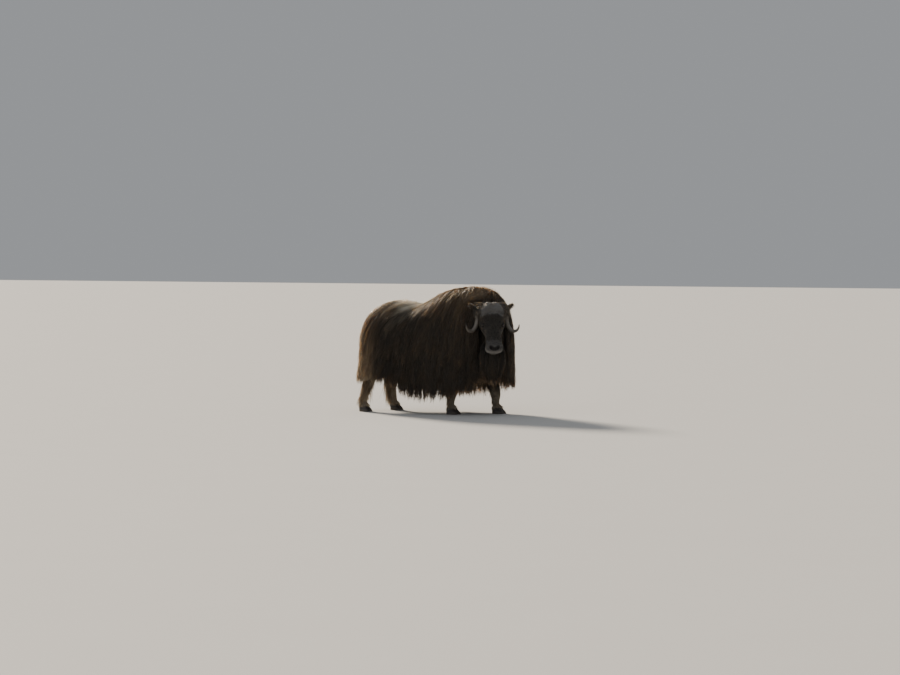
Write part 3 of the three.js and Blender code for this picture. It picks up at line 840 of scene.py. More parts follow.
@dataclass
class Markings:
    """The colours of the coat and skin, by place. Linear light."""

    flank: Colour = (0.0118, 0.0094, 0.0080)
    throat: Colour = (0.0102, 0.0083, 0.0073)
    # Golden top of the hump: partly the coat's own colour, partly painted sunlight where the light from
    # behind catches the top
    hump: Colour = (0.165, 0.114, 0.071)
    hump_side: Colour = (0.026, 0.0165, 0.0100)
    saddle: Colour = (0.680, 0.610, 0.500)
    croup: Colour = (0.078, 0.054, 0.036)
    # Golden brown of the rump and the hind fringes: partly the coat's own colour, partly painted rim light
    # from the light behind
    rear: Colour = (0.155, 0.109, 0.070)
    stocking: Colour = (0.420, 0.345, 0.255)
    beard: Colour = (0.0105, 0.0088, 0.0080)
    face: Colour = (0.030, 0.0265, 0.0250)
    eye_band: Colour = (0.018, 0.0158, 0.0150)
    lids: Colour = (0.010, 0.0085, 0.008)
    forehead: Colour = (0.240, 0.233, 0.230)
    muzzle: Colour = (0.085, 0.082, 0.080)
    nose_strip: Colour = (0.022, 0.019, 0.018)
    nose_pad: Colour = (0.0070, 0.0062, 0.0062)
    lips: Colour = (0.190, 0.180, 0.172)
    ear: Colour = (0.110, 0.084, 0.060)

    def body(self, points: Array) -> Array:
        """Gives the colour of the body.

        Args:
            points: Places in the layout.

        Returns:
            One colour for each.
        """
        x, y, z = points[..., 0], points[..., 1], points[..., 2]
        wobble = 0.025 * np.sin(x * 23 + 2 * np.sin(y * 17)) + 0.02 * np.sin(y * 31 + x * 11)
        colours = np.tile(np.array(self.flank), (*x.shape, 1))
        colours = over(colours, rise(0.08, 0.26, x + 0.3 * wobble), self.throat)
        # The back end below the top takes the golden colour, partly painted rim light
        back_end = rise(-0.82, -1.10, x + 1.6 * wobble) ** 2
        colours = over(colours, back_end * rise(1.0, 0.5, z), self.rear)
        shoulder = rise(-0.52, -0.36, x + wobble) * (1 - rise(0.16, 0.34, x))
        colours = over(colours, shoulder * rise(0.84, 1.05, z + wobble), self.hump_side)
        # The top of the hump takes the golden colour, which is partly painted sunlight on the top
        colours = over(colours, shoulder * rise(1.06, 1.17, z + wobble), self.hump)
        croup = 1 - rise(-0.80, -0.66, x + wobble)
        colours = over(colours, croup * rise(0.88, 1.02, z + wobble), self.croup)
        saddle = rise(-0.88, -0.76, x + wobble - 0.2 * np.abs(y))
        saddle = saddle * (1 - rise(-0.43, -0.34, x + wobble - 0.1 * (z - 1.0)))
        saddle = saddle * (1 - rise(0.11, 0.22, np.abs(y) + wobble)) * rise(0.80, 0.90, z)
        colours = over(colours, saddle, self.saddle)
        stockings = (1 - rise(0.15, 0.26, z + wobble)) * (np.abs(y) < 0.26)
        colours = over(colours, self.near_legs(x, y, z) * stockings, self.stocking)
        beard = 1 - rise(0.07, 0.17, np.hypot(x - 0.36, y + 0.32))
        return over(colours, beard * (1 - rise(0.62, 0.72, z)), self.beard)

    def near_legs(self, x: Array, y: Array, z: Array) -> Array:
        """Tells how close places lie to a leg.

        Args:
            x: X of each place.
            y: Y of each place.
            z: Z of each place.

        Returns:
            0 for away from all legs, up to 1 for on one.
        """
        near = np.zeros(x.shape)
        height = np.clip(z, HOOF_TOP, LEG_TOP)
        for leg in LEGS:
            upward = leg.path[::-1]
            leg_x, leg_y = (np.interp(height, upward[:, 2], upward[:, axis]) for axis in (0, 1))
            near = np.maximum(near, 1 - rise(0.075, 0.11, np.hypot(x - leg_x, y - leg_y)))
        return near

    def head(self, points: Array) -> Array:
        """Gives the colour of the head.

        Args:
            points: Places in the head's own frame.

        Returns:
            One colour for each.
        """
        x, y, z = folded(points)
        wobble = 0.006 * np.sin(x * 90 + 3 * np.sin(y * 70))
        colours = np.tile(np.array(self.face), (*x.shape, 1))
        band = rise(0.085, 0.12, x + wobble) * (1 - rise(0.30, 0.36, x + wobble))
        colours = over(colours, 0.85 * band * rise(-0.05, 0.0, z), self.eye_band)
        eye = bump(np.linalg.norm(np.stack((x, y, z), axis=-1) - EYE_CENTRE, axis=-1), 0.036)
        colours = over(colours, 0.9 * eye, self.eye_band)
        lids = 1 - rise(1.3, 2.1, HEAD.lid_place(points))
        colours = over(colours, lids * (y > 0.05), self.lids)
        forehead = (1 - rise(0.070, 0.100, x + wobble)) * rise(0.02, 0.05, z)
        colours = over(colours, forehead * (1 - rise(0.075, 0.10, y + wobble)), self.forehead)
        strip = 0.7 * rise(0.28, 0.33, x) * rise(0.0, 0.03, z) * (1 - rise(0.40, 0.42, x))
        colours = over(colours, strip, self.nose_strip)
        muzzle = rise(0.385, 0.42, x + wobble - 0.1 * (z < 0) * z)
        colours = over(colours, 0.9 * muzzle, self.muzzle)
        above = HEAD.mouth_place(points)
        mouth = rise(0.36, 0.41, x)
        colours = over(colours, mouth * bump(above - 0.012, 0.011), self.lips)
        colours = over(colours, mouth * bump(above + 0.018, 0.016), self.lips)
        pad = rise(0.452, 0.465, x) * (1 - rise(0.040, 0.056, y)) * rise(-0.01, 0.0, z)
        colours = over(colours, pad * (1 - rise(0.012, 0.024, np.abs(z - 0.018 - 0.5 * y))), self.nose_pad)
        return over(colours, mouth * bump(above, 0.0022), self.nose_pad)

    def skin(self, points: Array) -> Array:
        """Gives the colour of the whole skin.

        Args:
            points: Places in the layout.

        Returns:
            One colour for each.
        """
        in_head = body_to_head(points)
        x, y, z = folded(in_head)
        ear = rise(0.105, 0.125, y) * (1 - rise(0.05, 0.08, x)) * (x > -0.12) * (np.abs(z) < 0.09)
        head = (x > -0.05) & (x < 0.55) & (y < 0.15) & (np.abs(z) < 0.17)
        colours = np.where(head[..., None], self.head(in_head), self.body(points))
        return over(colours, ear, self.ear)


MARKINGS = Markings()


# Each tuft's patch in the bake, the margin round all patches, and the room for the patches' corners
BAKE_PATCH = 0.003
BAKE_MARGIN = 0.002
BAKE_SPAN = 0.993
BEFORE_TIPS = 0.8  # the depth in the coat that tufts are spread and measured at


@dataclass
class Tufts:
    """Many tufts of hair as arrays: middle lines, way out, widths and colours at each station."""

    lines: Array
    outs: Array
    half_widths: Array
    roots: Array
    colours: Array
    tones: Array
    flatness: float = 0.45

    def chosen(self, keep: Array) -> "Tufts":
        """Keeps some of the tufts."""
        arrays = ("lines", "outs", "half_widths", "roots", "colours", "tones")
        return replace(self, **{name: getattr(self, name)[keep] for name in arrays})

    def on_head(self, side: int = 1) -> "Tufts":
        """Moves tufts from the head's frame to the layout, mirrored to the right for side -1."""
        return replace(self, lines=head_to_body(mirrored(self.lines, side)),
                       outs=mirrored(self.outs, side) @ HEAD_AXES.T)

    def clear_of_head(self) -> "Tufts":
        """Leaves out the tufts that would pass through the face, and any that would reach the floor.

        Returns:
            The tufts that are left.
        """
        x, y, z = folded(body_to_head(self.lines))
        grown = 0.004
        inside = ((x > 0.03) & (x < HEAD.length + grown) & (y < HEAD.half_width(x) + grown)
                  & (z < HEAD.above(x) + grown) & (z > -HEAD.below(x) + 4 * grown))
        return self.chosen(~inside.any(axis=1) & (self.lines[..., 2].min(axis=1) > 0.02))

    def make(self, name: str, material: bpy.types.Material, slot: str) -> None:
        """Makes one mesh of all the tufts, each a closed, flat, three-sided and tapered blade.

        Args:
            name: The piece's name.
            material: Its material.
            slot: The name of a material slot, passed on to dress, which does not use it.
        """
        count, stations = self.lines.shape[:2]
        along = unit(np.gradient(self.lines, axis=1))
        across = unit(np.cross(along, self.outs))
        keel = np.cross(across, along)
        angles = (np.arange(3) / 3 + 0.25) * TAU
        half_widths = self.half_widths[:, :-1, None]
        rings = (self.lines[:, :-1, None]
                 + across[:, :-1, None] * (half_widths * np.cos(angles))[..., None]
                 + keel[:, :-1, None] * (half_widths * self.flatness * np.sin(angles))[..., None])
        per_tuft = 3 * (stations - 1) + 1
        points = np.concatenate((rings.reshape(count, -1, 3), self.lines[:, -1:]), axis=1)
        pattern = [(2, 1, 0)]
        for ring in range(stations - 2):
            for side in range(3):
                a, b = ring * 3 + side, ring * 3 + (side + 1) % 3
                pattern += [(a, b, b + 3), (a, b + 3, a + 3)]
        last = (stations - 2) * 3
        pattern += [(last + side, last + (side + 1) % 3, per_tuft - 1) for side in range(3)]
        faces = (np.array(pattern)[None] + (np.arange(count) * per_tuft)[:, None, None]).reshape(-1, 3)
        mesh = bpy.data.meshes.new(name)
        mesh.vertices.add(count * per_tuft)
        mesh.vertices.foreach_set("co", (points.reshape(-1, 3) + OFFSET).ravel())
        mesh.loops.add(faces.size)
        mesh.loops.foreach_set("vertex_index", faces.ravel())
        mesh.polygons.add(len(faces))
        mesh.polygons.foreach_set("loop_start", np.arange(len(faces)) * 3)
        mesh.update(calc_edges=True)
        mesh.shade_smooth()
        reach = np.append(np.repeat(np.linspace(0, 1, stations)[:-1], 3), 1.0)
        set_attribute(mesh, "reach", np.tile(reach, count))
        set_attribute(mesh, "tone", np.repeat(self.tones, per_tuft))
        colours = np.broadcast_to(self.colours.reshape(count, -1, 3), (count, stations, 3))
        colours = np.concatenate((np.repeat(colours[:, :-1], 3, axis=1), colours[:, -1:]), axis=1)
        set_attribute(mesh, "marking", colours.reshape(-1, 3))
        in_patch = np.stack((np.append(np.tile(np.arange(3) / 3, stations - 1), 0.33), reach), axis=1)
        corners = BAKE_MARGIN + self.roots * BAKE_SPAN
        uvs = (corners[:, None] + in_patch[None] * BAKE_PATCH).reshape(-1, 2)
        layer = mesh.uv_layers.new(name="OFBake")
        layer.uv.foreach_set("vector", uvs[faces.ravel()].astype(np.float32).ravel())
        dress(linked(name, mesh), material, slot)


@dataclass
class Locks:
    """The wavy locks that tufts are drawn together into, as arrays with one value for each lock."""

    around: Array
    drop: Array
    sway: Array
    phase: Array
    depth: Array
    length: Array
    tone: Array
    waves: Array

    def at(self, numbers: Array) -> "Locks":
        """Gives the lock of each tuft, from the locks' numbers."""
        return Locks(*(getattr(self, each.name)[numbers] for each in fields(self)))


@dataclass
class BellCoat:
    """The long hair of one bell, in tufts that are drawn together into wavy locks."""

    bell: Bell
    count: int
    lock_spacing: float
    reach: Curve
    backward: Curve
    sweep: float
    half_width: float
    wave: float
    stations: int = 6
    depth_from: float = 0.36
    draw_together: float = 0.66
    lowest_root: float = 0.78
    stray: float = 0.14
    rear_spread: float = 0.0
    hem: float = 1.01
    ragged: float = 0.032
    hollow: float = 0.16
    other: Bell | None = None
    buried: float = 0.7

    def metric(self, around: Array, drop: Array) -> tuple[Array, Array]:
        """Measures how many metres one unit of the way round and of the drop is.

        Args:
            around: Share of the way round of each place.
            drop: Drop of each place.

        Returns:
            The two lengths.
        """
        step = 4e-3
        round_way = self.place(around + step, drop) - self.place(around - step, drop)
        down_way = self.place(around, drop + step) - self.place(around, drop - step)
        return tuple(np.linalg.norm(way, axis=-1) / (2 * step) for way in (round_way, down_way))

    def place(self, around: Array, drop: Array) -> Array:
        """Gives points a little under the tips."""
        return self.bell.point(around, drop, np.full(around.shape, BEFORE_TIPS))

    def spread(self, rng: np.random.Generator, count: int) -> tuple[Array, Array]:
        """Draws places evenly over the bell's surface.

        Args:
            rng: The source of random draws.
            count: How many places.

        Returns:
            Shares of the way round, and drops.
        """
        tries = count * 8
        around, drop = rng.random(tries), rng.uniform(0.004, self.lowest_root, tries)
        round_way, down_way = self.metric(around, drop)
        area = round_way * down_way
        chosen = np.flatnonzero(rng.random(tries) < area / np.quantile(area, 0.98))[:count]
        return around[chosen], drop[chosen]

    def locks(self, rng: np.random.Generator) -> Locks:
        """Draws the locks.

        Args:
            rng: The source of random draws.

        Returns:
            The locks, one for each square of the spacing between them.
        """
        around, drop = np.meshgrid(np.linspace(0, 1, 80), np.linspace(0.01, self.lowest_root, 60))
        round_way, down_way = self.metric(around.ravel(), drop.ravel())
        area = float(np.mean(round_way * down_way)) * self.lowest_root
        tufts_a_lock = self.count * self.lock_spacing**2 / area
        around, drop = self.spread(rng, int(self.count / tufts_a_lock))
        count = len(around)
        return Locks(around, drop, rng.normal(0, 0.018, count), rng.uniform(0, TAU, count),
                     rng.uniform(-self.hollow, 0.04, count), rng.uniform(0.86, 1.1, count),
                     rng.uniform(0, 1, count), rng.uniform(0.9, 1.7, count))

    def nearest(self, around: Array, drop: Array, locks: Locks) -> Locks:
        """Finds the lock that each tuft belongs to.

        Args:
            around: Share of the way round of each tuft.
            drop: Drop of each tuft.
            locks: All the locks.

        Returns:
            One lock for each tuft.
        """
        tree = kdtree.KDTree(len(locks.around))
        for number, place in enumerate(self.place(locks.around, locks.drop)):
            tree.insert(place, number)
        tree.balance()
        return locks.at(np.array([tree.find(place)[1] for place in self.place(around, drop)]))

    def grow(self, rng: np.random.Generator) -> Tufts:
        """Grows the tufts.

        Args:
            rng: The source of random draws.

        Returns:
            The tufts, with roots placed on the unwrap of the bell.
        """
        around, drop = self.spread(rng, self.count)
        lock = self.nearest(around, drop, self.locks(rng))
        count = len(drop)
        t = np.linspace(0, 1, self.stations)[None]
        phase, waves = lock.phase[:, None], lock.waves[:, None]

        own_reach = self.reach(drop) * lock.length * rng.uniform(0.85, 1.08, count)
        hem = self.hem + rng.normal(0, self.ragged, count) + 3.6 * self.ragged * (lock.length - 0.98)
        end = np.maximum(np.minimum(drop + own_reach, hem), drop + 0.05)
        gather = (t**1.4) * self.draw_together * rng.uniform(0.55, 1.2, count)[:, None]
        wave = np.sin(t * TAU * waves + phase + rng.normal(0, 0.5, count)[:, None])
        wave = wave - np.sin(phase) * (1 - t)
        stray = rng.random(count) < self.stray
        wobble = self.wave * wave * t * (1 - 0.35 * t) * mix(1, 1.8, stray)[:, None]
        sway = (lock.sway + rng.normal(0, 0.008, count))[:, None] * t**2

        round_way = np.maximum(self.metric(around, drop)[0], 0.4)
        back_shift = np.where(around < 0.5, 1.0, -1.0) * self.sweep * self.backward(drop) / round_way
        to_lock = (lock.around - around + 0.5) % 1 - 0.5
        line_around = around[:, None] + back_shift[:, None] * t + to_lock[:, None] * gather
        line_around = line_around + (wobble + sway) / round_way[:, None]
        line_drop = mix(drop[:, None], end[:, None], t)
        line_drop = line_drop + (lock.drop - drop)[:, None] * gather * 0.35 * (end < 0.97)[:, None]
        line_drop = np.clip(line_drop, 0.002, 1.05)

        high = 1 - rise(0.1, 0.42, drop)[:, None]
        profile = mix(through((0, 0), (0.25, 0.5), (0.6, 0.92), (1, 1))(t),
                      through((0, 0), (0.2, 0.72), (0.4, 0.97), (1, 1))(t), high)
        tip_depth = 1 + mix(1, 0.45, high[:, 0]) * lock.depth + rng.normal(0, 0.05, count)
        tip_depth = np.clip(tip_depth, 0.55, 1.04) + stray * rng.uniform(0.02, 0.13, count)
        tip_depth += self.rear_spread * rearward(around) ** 3 * rise(0.25, 0.6, end)
        swell = 0.35 * self.wave * np.cos(t * TAU * waves * 1.3 + phase) * t / 0.14
        start = mix(0.84, self.depth_from, rise(0.02, 0.16, drop))[:, None]
        depth = mix(start, tip_depth[:, None] - np.abs(swell) * 0.8, profile)
        hanging = self.bell.point(line_around, line_drop, depth)
        on_skin = self.bell.point(line_around, line_drop, depth, hanging=False)
        lines = mix(on_skin, hanging, rise(0, 0.3, t)[..., None])
        outs = self.bell.outward(line_around, np.clip(line_drop, 0.01, 1))

        taper = through((0, 0.7), (0.25, 1), (0.7, 0.75), (1, 0.08))(t)
        widths = taper * (self.half_width * rng.uniform(0.6, 1.35, count) * mix(1, 0.42, stray))[:, None]
        tones = np.clip(0.5 + 0.7 * (lock.tone - 0.5) + rng.normal(0, 0.14, count), 0, 1)
        root_colours = MARKINGS.body(self.place(around, drop))[:, None]
        # Tufts high on the back get lighter near the root: painted light that offsets the painted root shade
        # where their roots show on the top
        colours = mix(root_colours, MARKINGS.body(lines), 0.86) * (1 + 1.1 * high * (1 - t) ** 2)[..., None]
        tufts = Tufts(lines, outs, widths, np.stack((around, drop), axis=1), colours, tones)
        if self.other is not None:
            tufts = tufts.chosen(~self.other.buries(lines[:, self.stations // 2:], self.buried).all(axis=1))
        return tufts.clear_of_head()


@dataclass
class SurfaceFur:
    """Short fur on a surface: each tuft leans along the lie and rises a little off the skin."""

    place: Surface
    count: int
    stations: int = 4
    flatness: float = 0.5

    def normals(self, u: Array, v: Array) -> Array:
        """Gives the way out of the surface, which is away from the middles of its rings.

        Args:
            u: Share of the way round of each place.
            v: Share of the way along of each place.

        Returns:
            One direction for each place.
        """
        round_way, long_way = surface_ways(self.place, u, v, FUR_STEP)
        ways = unit(np.cross(round_way, long_way))
        middles = np.mean([self.place(u + quarter, v) for quarter in (0, 0.25, 0.5, 0.75)], axis=0)
        return ways * np.sign(np.sum(ways * (self.place(u, v) - middles)))

    def spread(self, rng: np.random.Generator, low: float, high: float) -> tuple[Array, Array]:
        """Draws places evenly over the surface between two shares of the way along.

        Args:
            rng: The source of random draws.
            low: The first share.
            high: The second share.

        Returns:
            Shares of the way round, and shares of the way along.
        """
        tries = self.count * 6
        u, v = rng.random(tries), rng.uniform(low, high, tries)
        ways = surface_ways(self.place, u, v, FUR_STEP)
        round_way, long_way = (np.linalg.norm(way, axis=1) for way in ways)
        area = round_way * long_way
        chosen = np.flatnonzero(rng.random(tries) < area / np.quantile(area, 0.97))[:self.count]
        return u[chosen], v[chosen]

    def grow(self, u: Array, v: Array, lie: Array, lengths: Array | float, lift: Array | float,
             half_widths: Array | float, colours: Array, rng: np.random.Generator,
             hang: Sequence[float] = (0, 0, 0)) -> Tufts:
        """Grows tufts from places on the surface.

        Args:
            u: Share of the way round of each root.
            v: Share of the way along of each root.
            lie: The direction of the tufts; only its part along the surface counts.
            lengths: Length of the tufts.
            lift: How steeply the tufts rise, from 0 flat to 1 upright.
            half_widths: Half the width of the tufts at their widest.
            colours: Colour of the tufts.
            rng: The source of random draws.
            hang: How far each tip is pulled, in lengths.

        Returns:
            The tufts, in the frame of the surface.
        """
        count = len(u)
        roots, normals = self.place(u, v), self.normals(u, v)
        lie = lie + rng.normal(0, 0.16, (count, 3))
        lie = unit(lie - normals * np.sum(lie * normals, axis=1, keepdims=True))
        t = np.linspace(0, 1, self.stations)[None, :, None]
        lift = np.broadcast_to(lift, count)[:, None, None]
        lengths = (lengths * rng.uniform(0.8, 1.2, count))[:, None, None]
        off_skin = normals[:, None] * (lift * t * (1.3 - 0.6 * t) - 0.10 * (1 - t))
        lines = roots[:, None] + lengths * (lie[:, None] * t * np.sqrt(1 - lift**2) + off_skin)
        lines += lengths * t**2 * np.array(hang)
        taper = through((0, 0.85), (0.3, 1), (0.5, 0.8), (1, 0.1))(t[..., 0])
        widths = taper * (half_widths * rng.uniform(0.75, 1.25, count))[:, None]
        outs = np.repeat(normals[:, None], self.stations, axis=1)
        return Tufts(lines, outs, widths, np.stack((u % 1, v), axis=1), np.broadcast_to(colours, (count, 3)),
                     rng.random(count), self.flatness)


@dataclass
class Coat:
    """All the hair: the long coat, the beard, the forelock, and short fur on face, ears, legs and tail."""

    torso_count: int = 25000
    wool_count: int = 6100
    ridge_count: int = 3000
    throat_count: int = 8500
    beard_count: int = 2600
    jaw_count: int = 2300
    face_count: int = 21500
    forelock_count: int = 4200
    temple_count: int = 1500
    ear_count: int = 900
    leg_count: int = 1700
    tail_count: int = 500
    rump_line: float = -0.72
    shoulder_line: float = -0.36
    wool_half_width: float = 0.0014
    ridge_half_width: float = 0.0029
    face_half_widths: tuple[float, float] = (0.0012, 0.0017)
    jaw_half_width: float = 0.0023
    jaw_spread: float = 0.135
    forelock_half_width: float = 0.0016
    forelock_height: float = 0.030
    temple_half_width: float = 0.0017
    ear_half_width: float = 0.0018
    leg_half_widths: tuple[float, float] = (0.0023, 0.0030)
    leg_inset: float = 0.006
    hind_fringe: float = 0.175
    fore_fringe: float = 0.055
    tail_length: float = 0.055
    tail_half_width: float = 0.003

    def torso(self, rng: np.random.Generator, material: bpy.types.Material) -> None:
        """Grows the coat of back, flanks and rump, in pieces that each stay small enough.

        Args:
            rng: The source of random draws.
            material: The material.
        """
        tufts = BellCoat(
            bell=TORSO,
            count=self.torso_count,
            lock_spacing=0.048,
            reach=through((0, 0.20), (0.2, 0.24), (0.35, 0.34), (0.45, 0.46), (0.55, 0.42), (0.78, 0.25)),
            backward=through((0, 1), (0.2, 0.7), (0.4, 0.3), (0.5, 0.12), (0.9, 0.05)),
            sweep=0.115,
            rear_spread=0.26,
            half_width=0.0036,
            wave=0.013,
            other=THROAT,
        ).grow(rng)
        x = tufts.lines[:, 0, 0]
        zones = {"rump": x < self.rump_line, "barrel": (x >= self.rump_line) & (x < self.shoulder_line),
                 "shoulder": x >= self.shoulder_line}
        for zone, inside in zones.items():
            self.halves(tufts, f"coat_{zone}", material, inside)

    def halves(self, tufts: Tufts, name: str, material: bpy.types.Material,
               inside: Array | bool = True) -> None:
        """Makes two pieces of tufts, one for each side of the animal.

        Args:
            tufts: The tufts.
            name: The pieces' name without the side.
            material: The material.
            inside: Which tufts belong to the two pieces.
        """
        left = tufts.roots[:, 0] < 0.5
        tufts.chosen(inside & left).make(f"{name}_left", material, "guard_hair")
        tufts.chosen(inside & ~left).make(f"{name}_right", material, "guard_hair")

    def throat(self, rng: np.random.Generator, material: bpy.types.Material) -> None:
        """Grows the coat of neck and throat, and the beard.

        Args:
            rng: The source of random draws.
            material: The material.
        """
        mane = BellCoat(
            bell=THROAT,
            count=self.throat_count,
            lock_spacing=0.045,
            reach=through((0, 0.22), (0.2, 0.28), (0.4, 0.48), (0.5, 0.5), (0.78, 0.25)),
            backward=through((0, 0.6), (0.3, 0.3), (0.5, 0.1)),
            sweep=0.06,
            half_width=0.0035,
            wave=0.013,
            other=TORSO,
        )
        self.halves(mane.grow(rng), "coat_throat", material)
        beard = BellCoat(
            bell=BEARD,
            count=self.beard_count,
            lock_spacing=0.03,
            reach=through((0, 0.4), (0.4, 0.5), (0.5, 0.5), (0.78, 0.25)),
            backward=through((0, 0), (1, 0)),
            sweep=0,
            half_width=0.0031,
            wave=0.012,
            depth_from=0.25,
            draw_together=0.6,
            stray=0.05,
            hem=0.93,
            ragged=0.11,
            hollow=0.4,
        )
        beard.grow(rng).make("beard", material, "guard_hair")

    def wool(self, rng: np.random.Generator, material: bpy.types.Material) -> None:
        """Grows the short wool that stands out of the coat along back, hump, neck and all of the back end.

        Args:
            rng: The source of random draws.
            material: The material.
        """
        for name, bell, other, share in UPPER_BELLS:
            lowest = lambda u, bell=bell: mix(0.52, 0.93, rearward(u) ** 3 * (bell is TORSO))
            place = lambda u, v, bell=bell: bell.point(u, v * lowest(u), np.full(np.shape(u), BEFORE_TIPS))
            fur = SurfaceFur(place, int(self.wool_count * share))
            u, v = fur.spread(rng, 0.02, 1.0)
            keep = ~other.buries(place(u, v), 0.82) & (rng.random(len(u)) > 0.55 * rise(0.5, 1.0, v))
            u, v = u[keep], v[keep]
            lie = np.array((-0.75, 0.0, -0.55)) + rng.normal(0, 0.22, (len(u), 3))
            lie[:, 2] -= 1.2 * rise(0.2, 0.8, -np.cos(u * TAU)) * v
            lengths = mix(0.078, 0.056, v) * rng.uniform(0.6, 1.3, len(u))
            lift = rng.uniform(0.30, 0.85, len(u)) * mix(1, 0.75, v)
            tufts = fur.grow(u, v, lie, lengths, lift, self.wool_half_width, MARKINGS.body(place(u, v)), rng,
                             (0, 0, -0.3))
            tufts.clear_of_head().make(f"wool_{name}", material, "guard_hair")

    def ridge(self, rng: np.random.Generator, material: bpy.types.Material) -> None:
        """Grows the hair that runs backwards along the top of back, hump and neck and closes the parting.

        Args:
            rng: The source of random draws.
            material: The material.
        """
        for name, bell, other, share in UPPER_BELLS:
            place = lambda u, v, bell=bell: bell.point(u, v * 0.13, np.full(np.shape(u), BEFORE_TIPS), False)
            fur = SurfaceFur(place, int(self.ridge_count * share), stations=5)
            u, v = fur.spread(rng, 0.01, 1.0)
            keep = ~other.buries(place(u, v), 0.82)
            u, v = u[keep], v[keep]
            sideways = np.where(u < 0.5, 1.0, -1.0) * rng.normal(0.15, 0.35, len(u))
            lie = np.stack((np.full(len(u), -1.0), sideways, np.full(len(u), -0.1)), axis=1)
            lengths = rng.uniform(0.11, 0.18, len(u)) * mix(1.0, 0.8, v)
            lift = rng.uniform(0.05, 0.22, len(u))
            # The ridge hair is made half as light again: painted light that offsets its shade in the groove
            # along the top and the painted root shade
            colours = MARKINGS.body(place(u, v)) * 1.5
            tufts = fur.grow(u, v, lie, lengths, lift, self.ridge_half_width, colours, rng, (0, 0, -0.18))
            tufts.clear_of_head().make(f"ridge_{name}", material, "guard_hair")

    def face(self, rng: np.random.Generator, material: bpy.types.Material) -> None:
        """Grows the short fur of the face, from the poll to the lips.

        Args:
            rng: The source of random draws.
            material: The material.
        """
        fur = SurfaceFur(lambda u, v: HEAD.place(u, v, 0.003), self.face_count, stations=3)
        u, v = fur.spread(rng, 0.16, 0.995)
        points = fur.place(u, v)
        eye = HEAD.lid_place(points)
        x, y, z = folded(points)
        bare_nose = (x > 0.457) & (y < 0.051) & (z > -0.012) & (z < 0.049)
        lips = (np.abs(HEAD.mouth_place(points)) < 0.0045) & (x > 0.36)
        keep = (eye > 1.3) & ~bare_nose & ~lips & (rng.random(len(u)) < mix(0.6, 1.0, rise(0.0, 0.1, x)))
        u, v, points, eye, x, y, z = (values[keep] for values in (u, v, points, eye, x, y, z))
        off_eye = rise(1.3, 3.0, eye)
        back_of_nose = 1 - rise(0.2, 0.44, x)
        jaw = rise(-0.03, -0.09, z) * (1 - rise(0.36, 0.42, x))
        cheek = rise(0.05, 0.08, y) * (1 - rise(0.16, 0.26, x))
        lengths = mix(0.011, 0.026, back_of_nose) + 0.03 * jaw * (1 - rise(0.28, 0.38, x)) + 0.02 * cheek
        lie = np.stack((np.full(x.shape, -1.0), 0.35 * np.sign(points[:, 1]) * rise(0, 0.05, y),
                        np.full(x.shape, -0.25) - 0.9 * jaw), axis=1)
        lie[:, 0] = mix(lie[:, 0], 0.8, (1 - rise(0.10, 0.15, x)) * rise(0.03, 0.06, z))
        widths = mix(*self.face_half_widths, back_of_nose) * mix(0.6, 1, off_eye)
        lift = mix(0.05, 0.12, 1 - rise(0.2, 0.42, x))
        tufts = fur.grow(u, v, lie, lengths * mix(0.32, 1, off_eye), lift, widths, MARKINGS.head(points), rng)
        tufts.on_head().make("face_fur", material, "face_hair")

    def jaw(self, rng: np.random.Generator, material: bpy.types.Material) -> None:
        """Grows the long hair that hangs from cheeks and lower jaw and joins the beard to the neck.

        Args:
            rng: The source of random draws.
            material: The material.
        """
        fur = SurfaceFur(lambda u, v: HEAD.place(u, v, 0.006), self.jaw_count * 6, stations=6, flatness=0.4)
        u, v = fur.spread(rng, 0.10, 0.72)
        x, _, z = folded(fur.place(u, v))
        chance = (1 - rise(0.20, 0.31, x)) * rise(-0.015, -0.05, z + 0.25 * (0.1 - x) * (x < 0.1))
        keep = np.flatnonzero(rng.random(len(u)) < chance)[:self.jaw_count]
        u, v, x = u[keep], v[keep], x[keep]
        lie = DOWN_IN_HEAD + np.array((-0.8, 0, 0)) + rng.normal(0, 0.05, (len(u), 3))
        lengths = mix(0.30, 0.16, rise(0.05, 0.30, x)) * rng.uniform(0.65, 1.15, len(u))
        tufts = fur.grow(u, v, lie, lengths, 0.12, self.jaw_half_width, np.array(MARKINGS.throat), rng,
                         1.1 * DOWN_IN_HEAD)
        close = np.abs(tufts.lines[:, -1, 1]) < self.jaw_spread
        tufts.chosen(close).on_head().make("jaw_hair", material, "guard_hair")

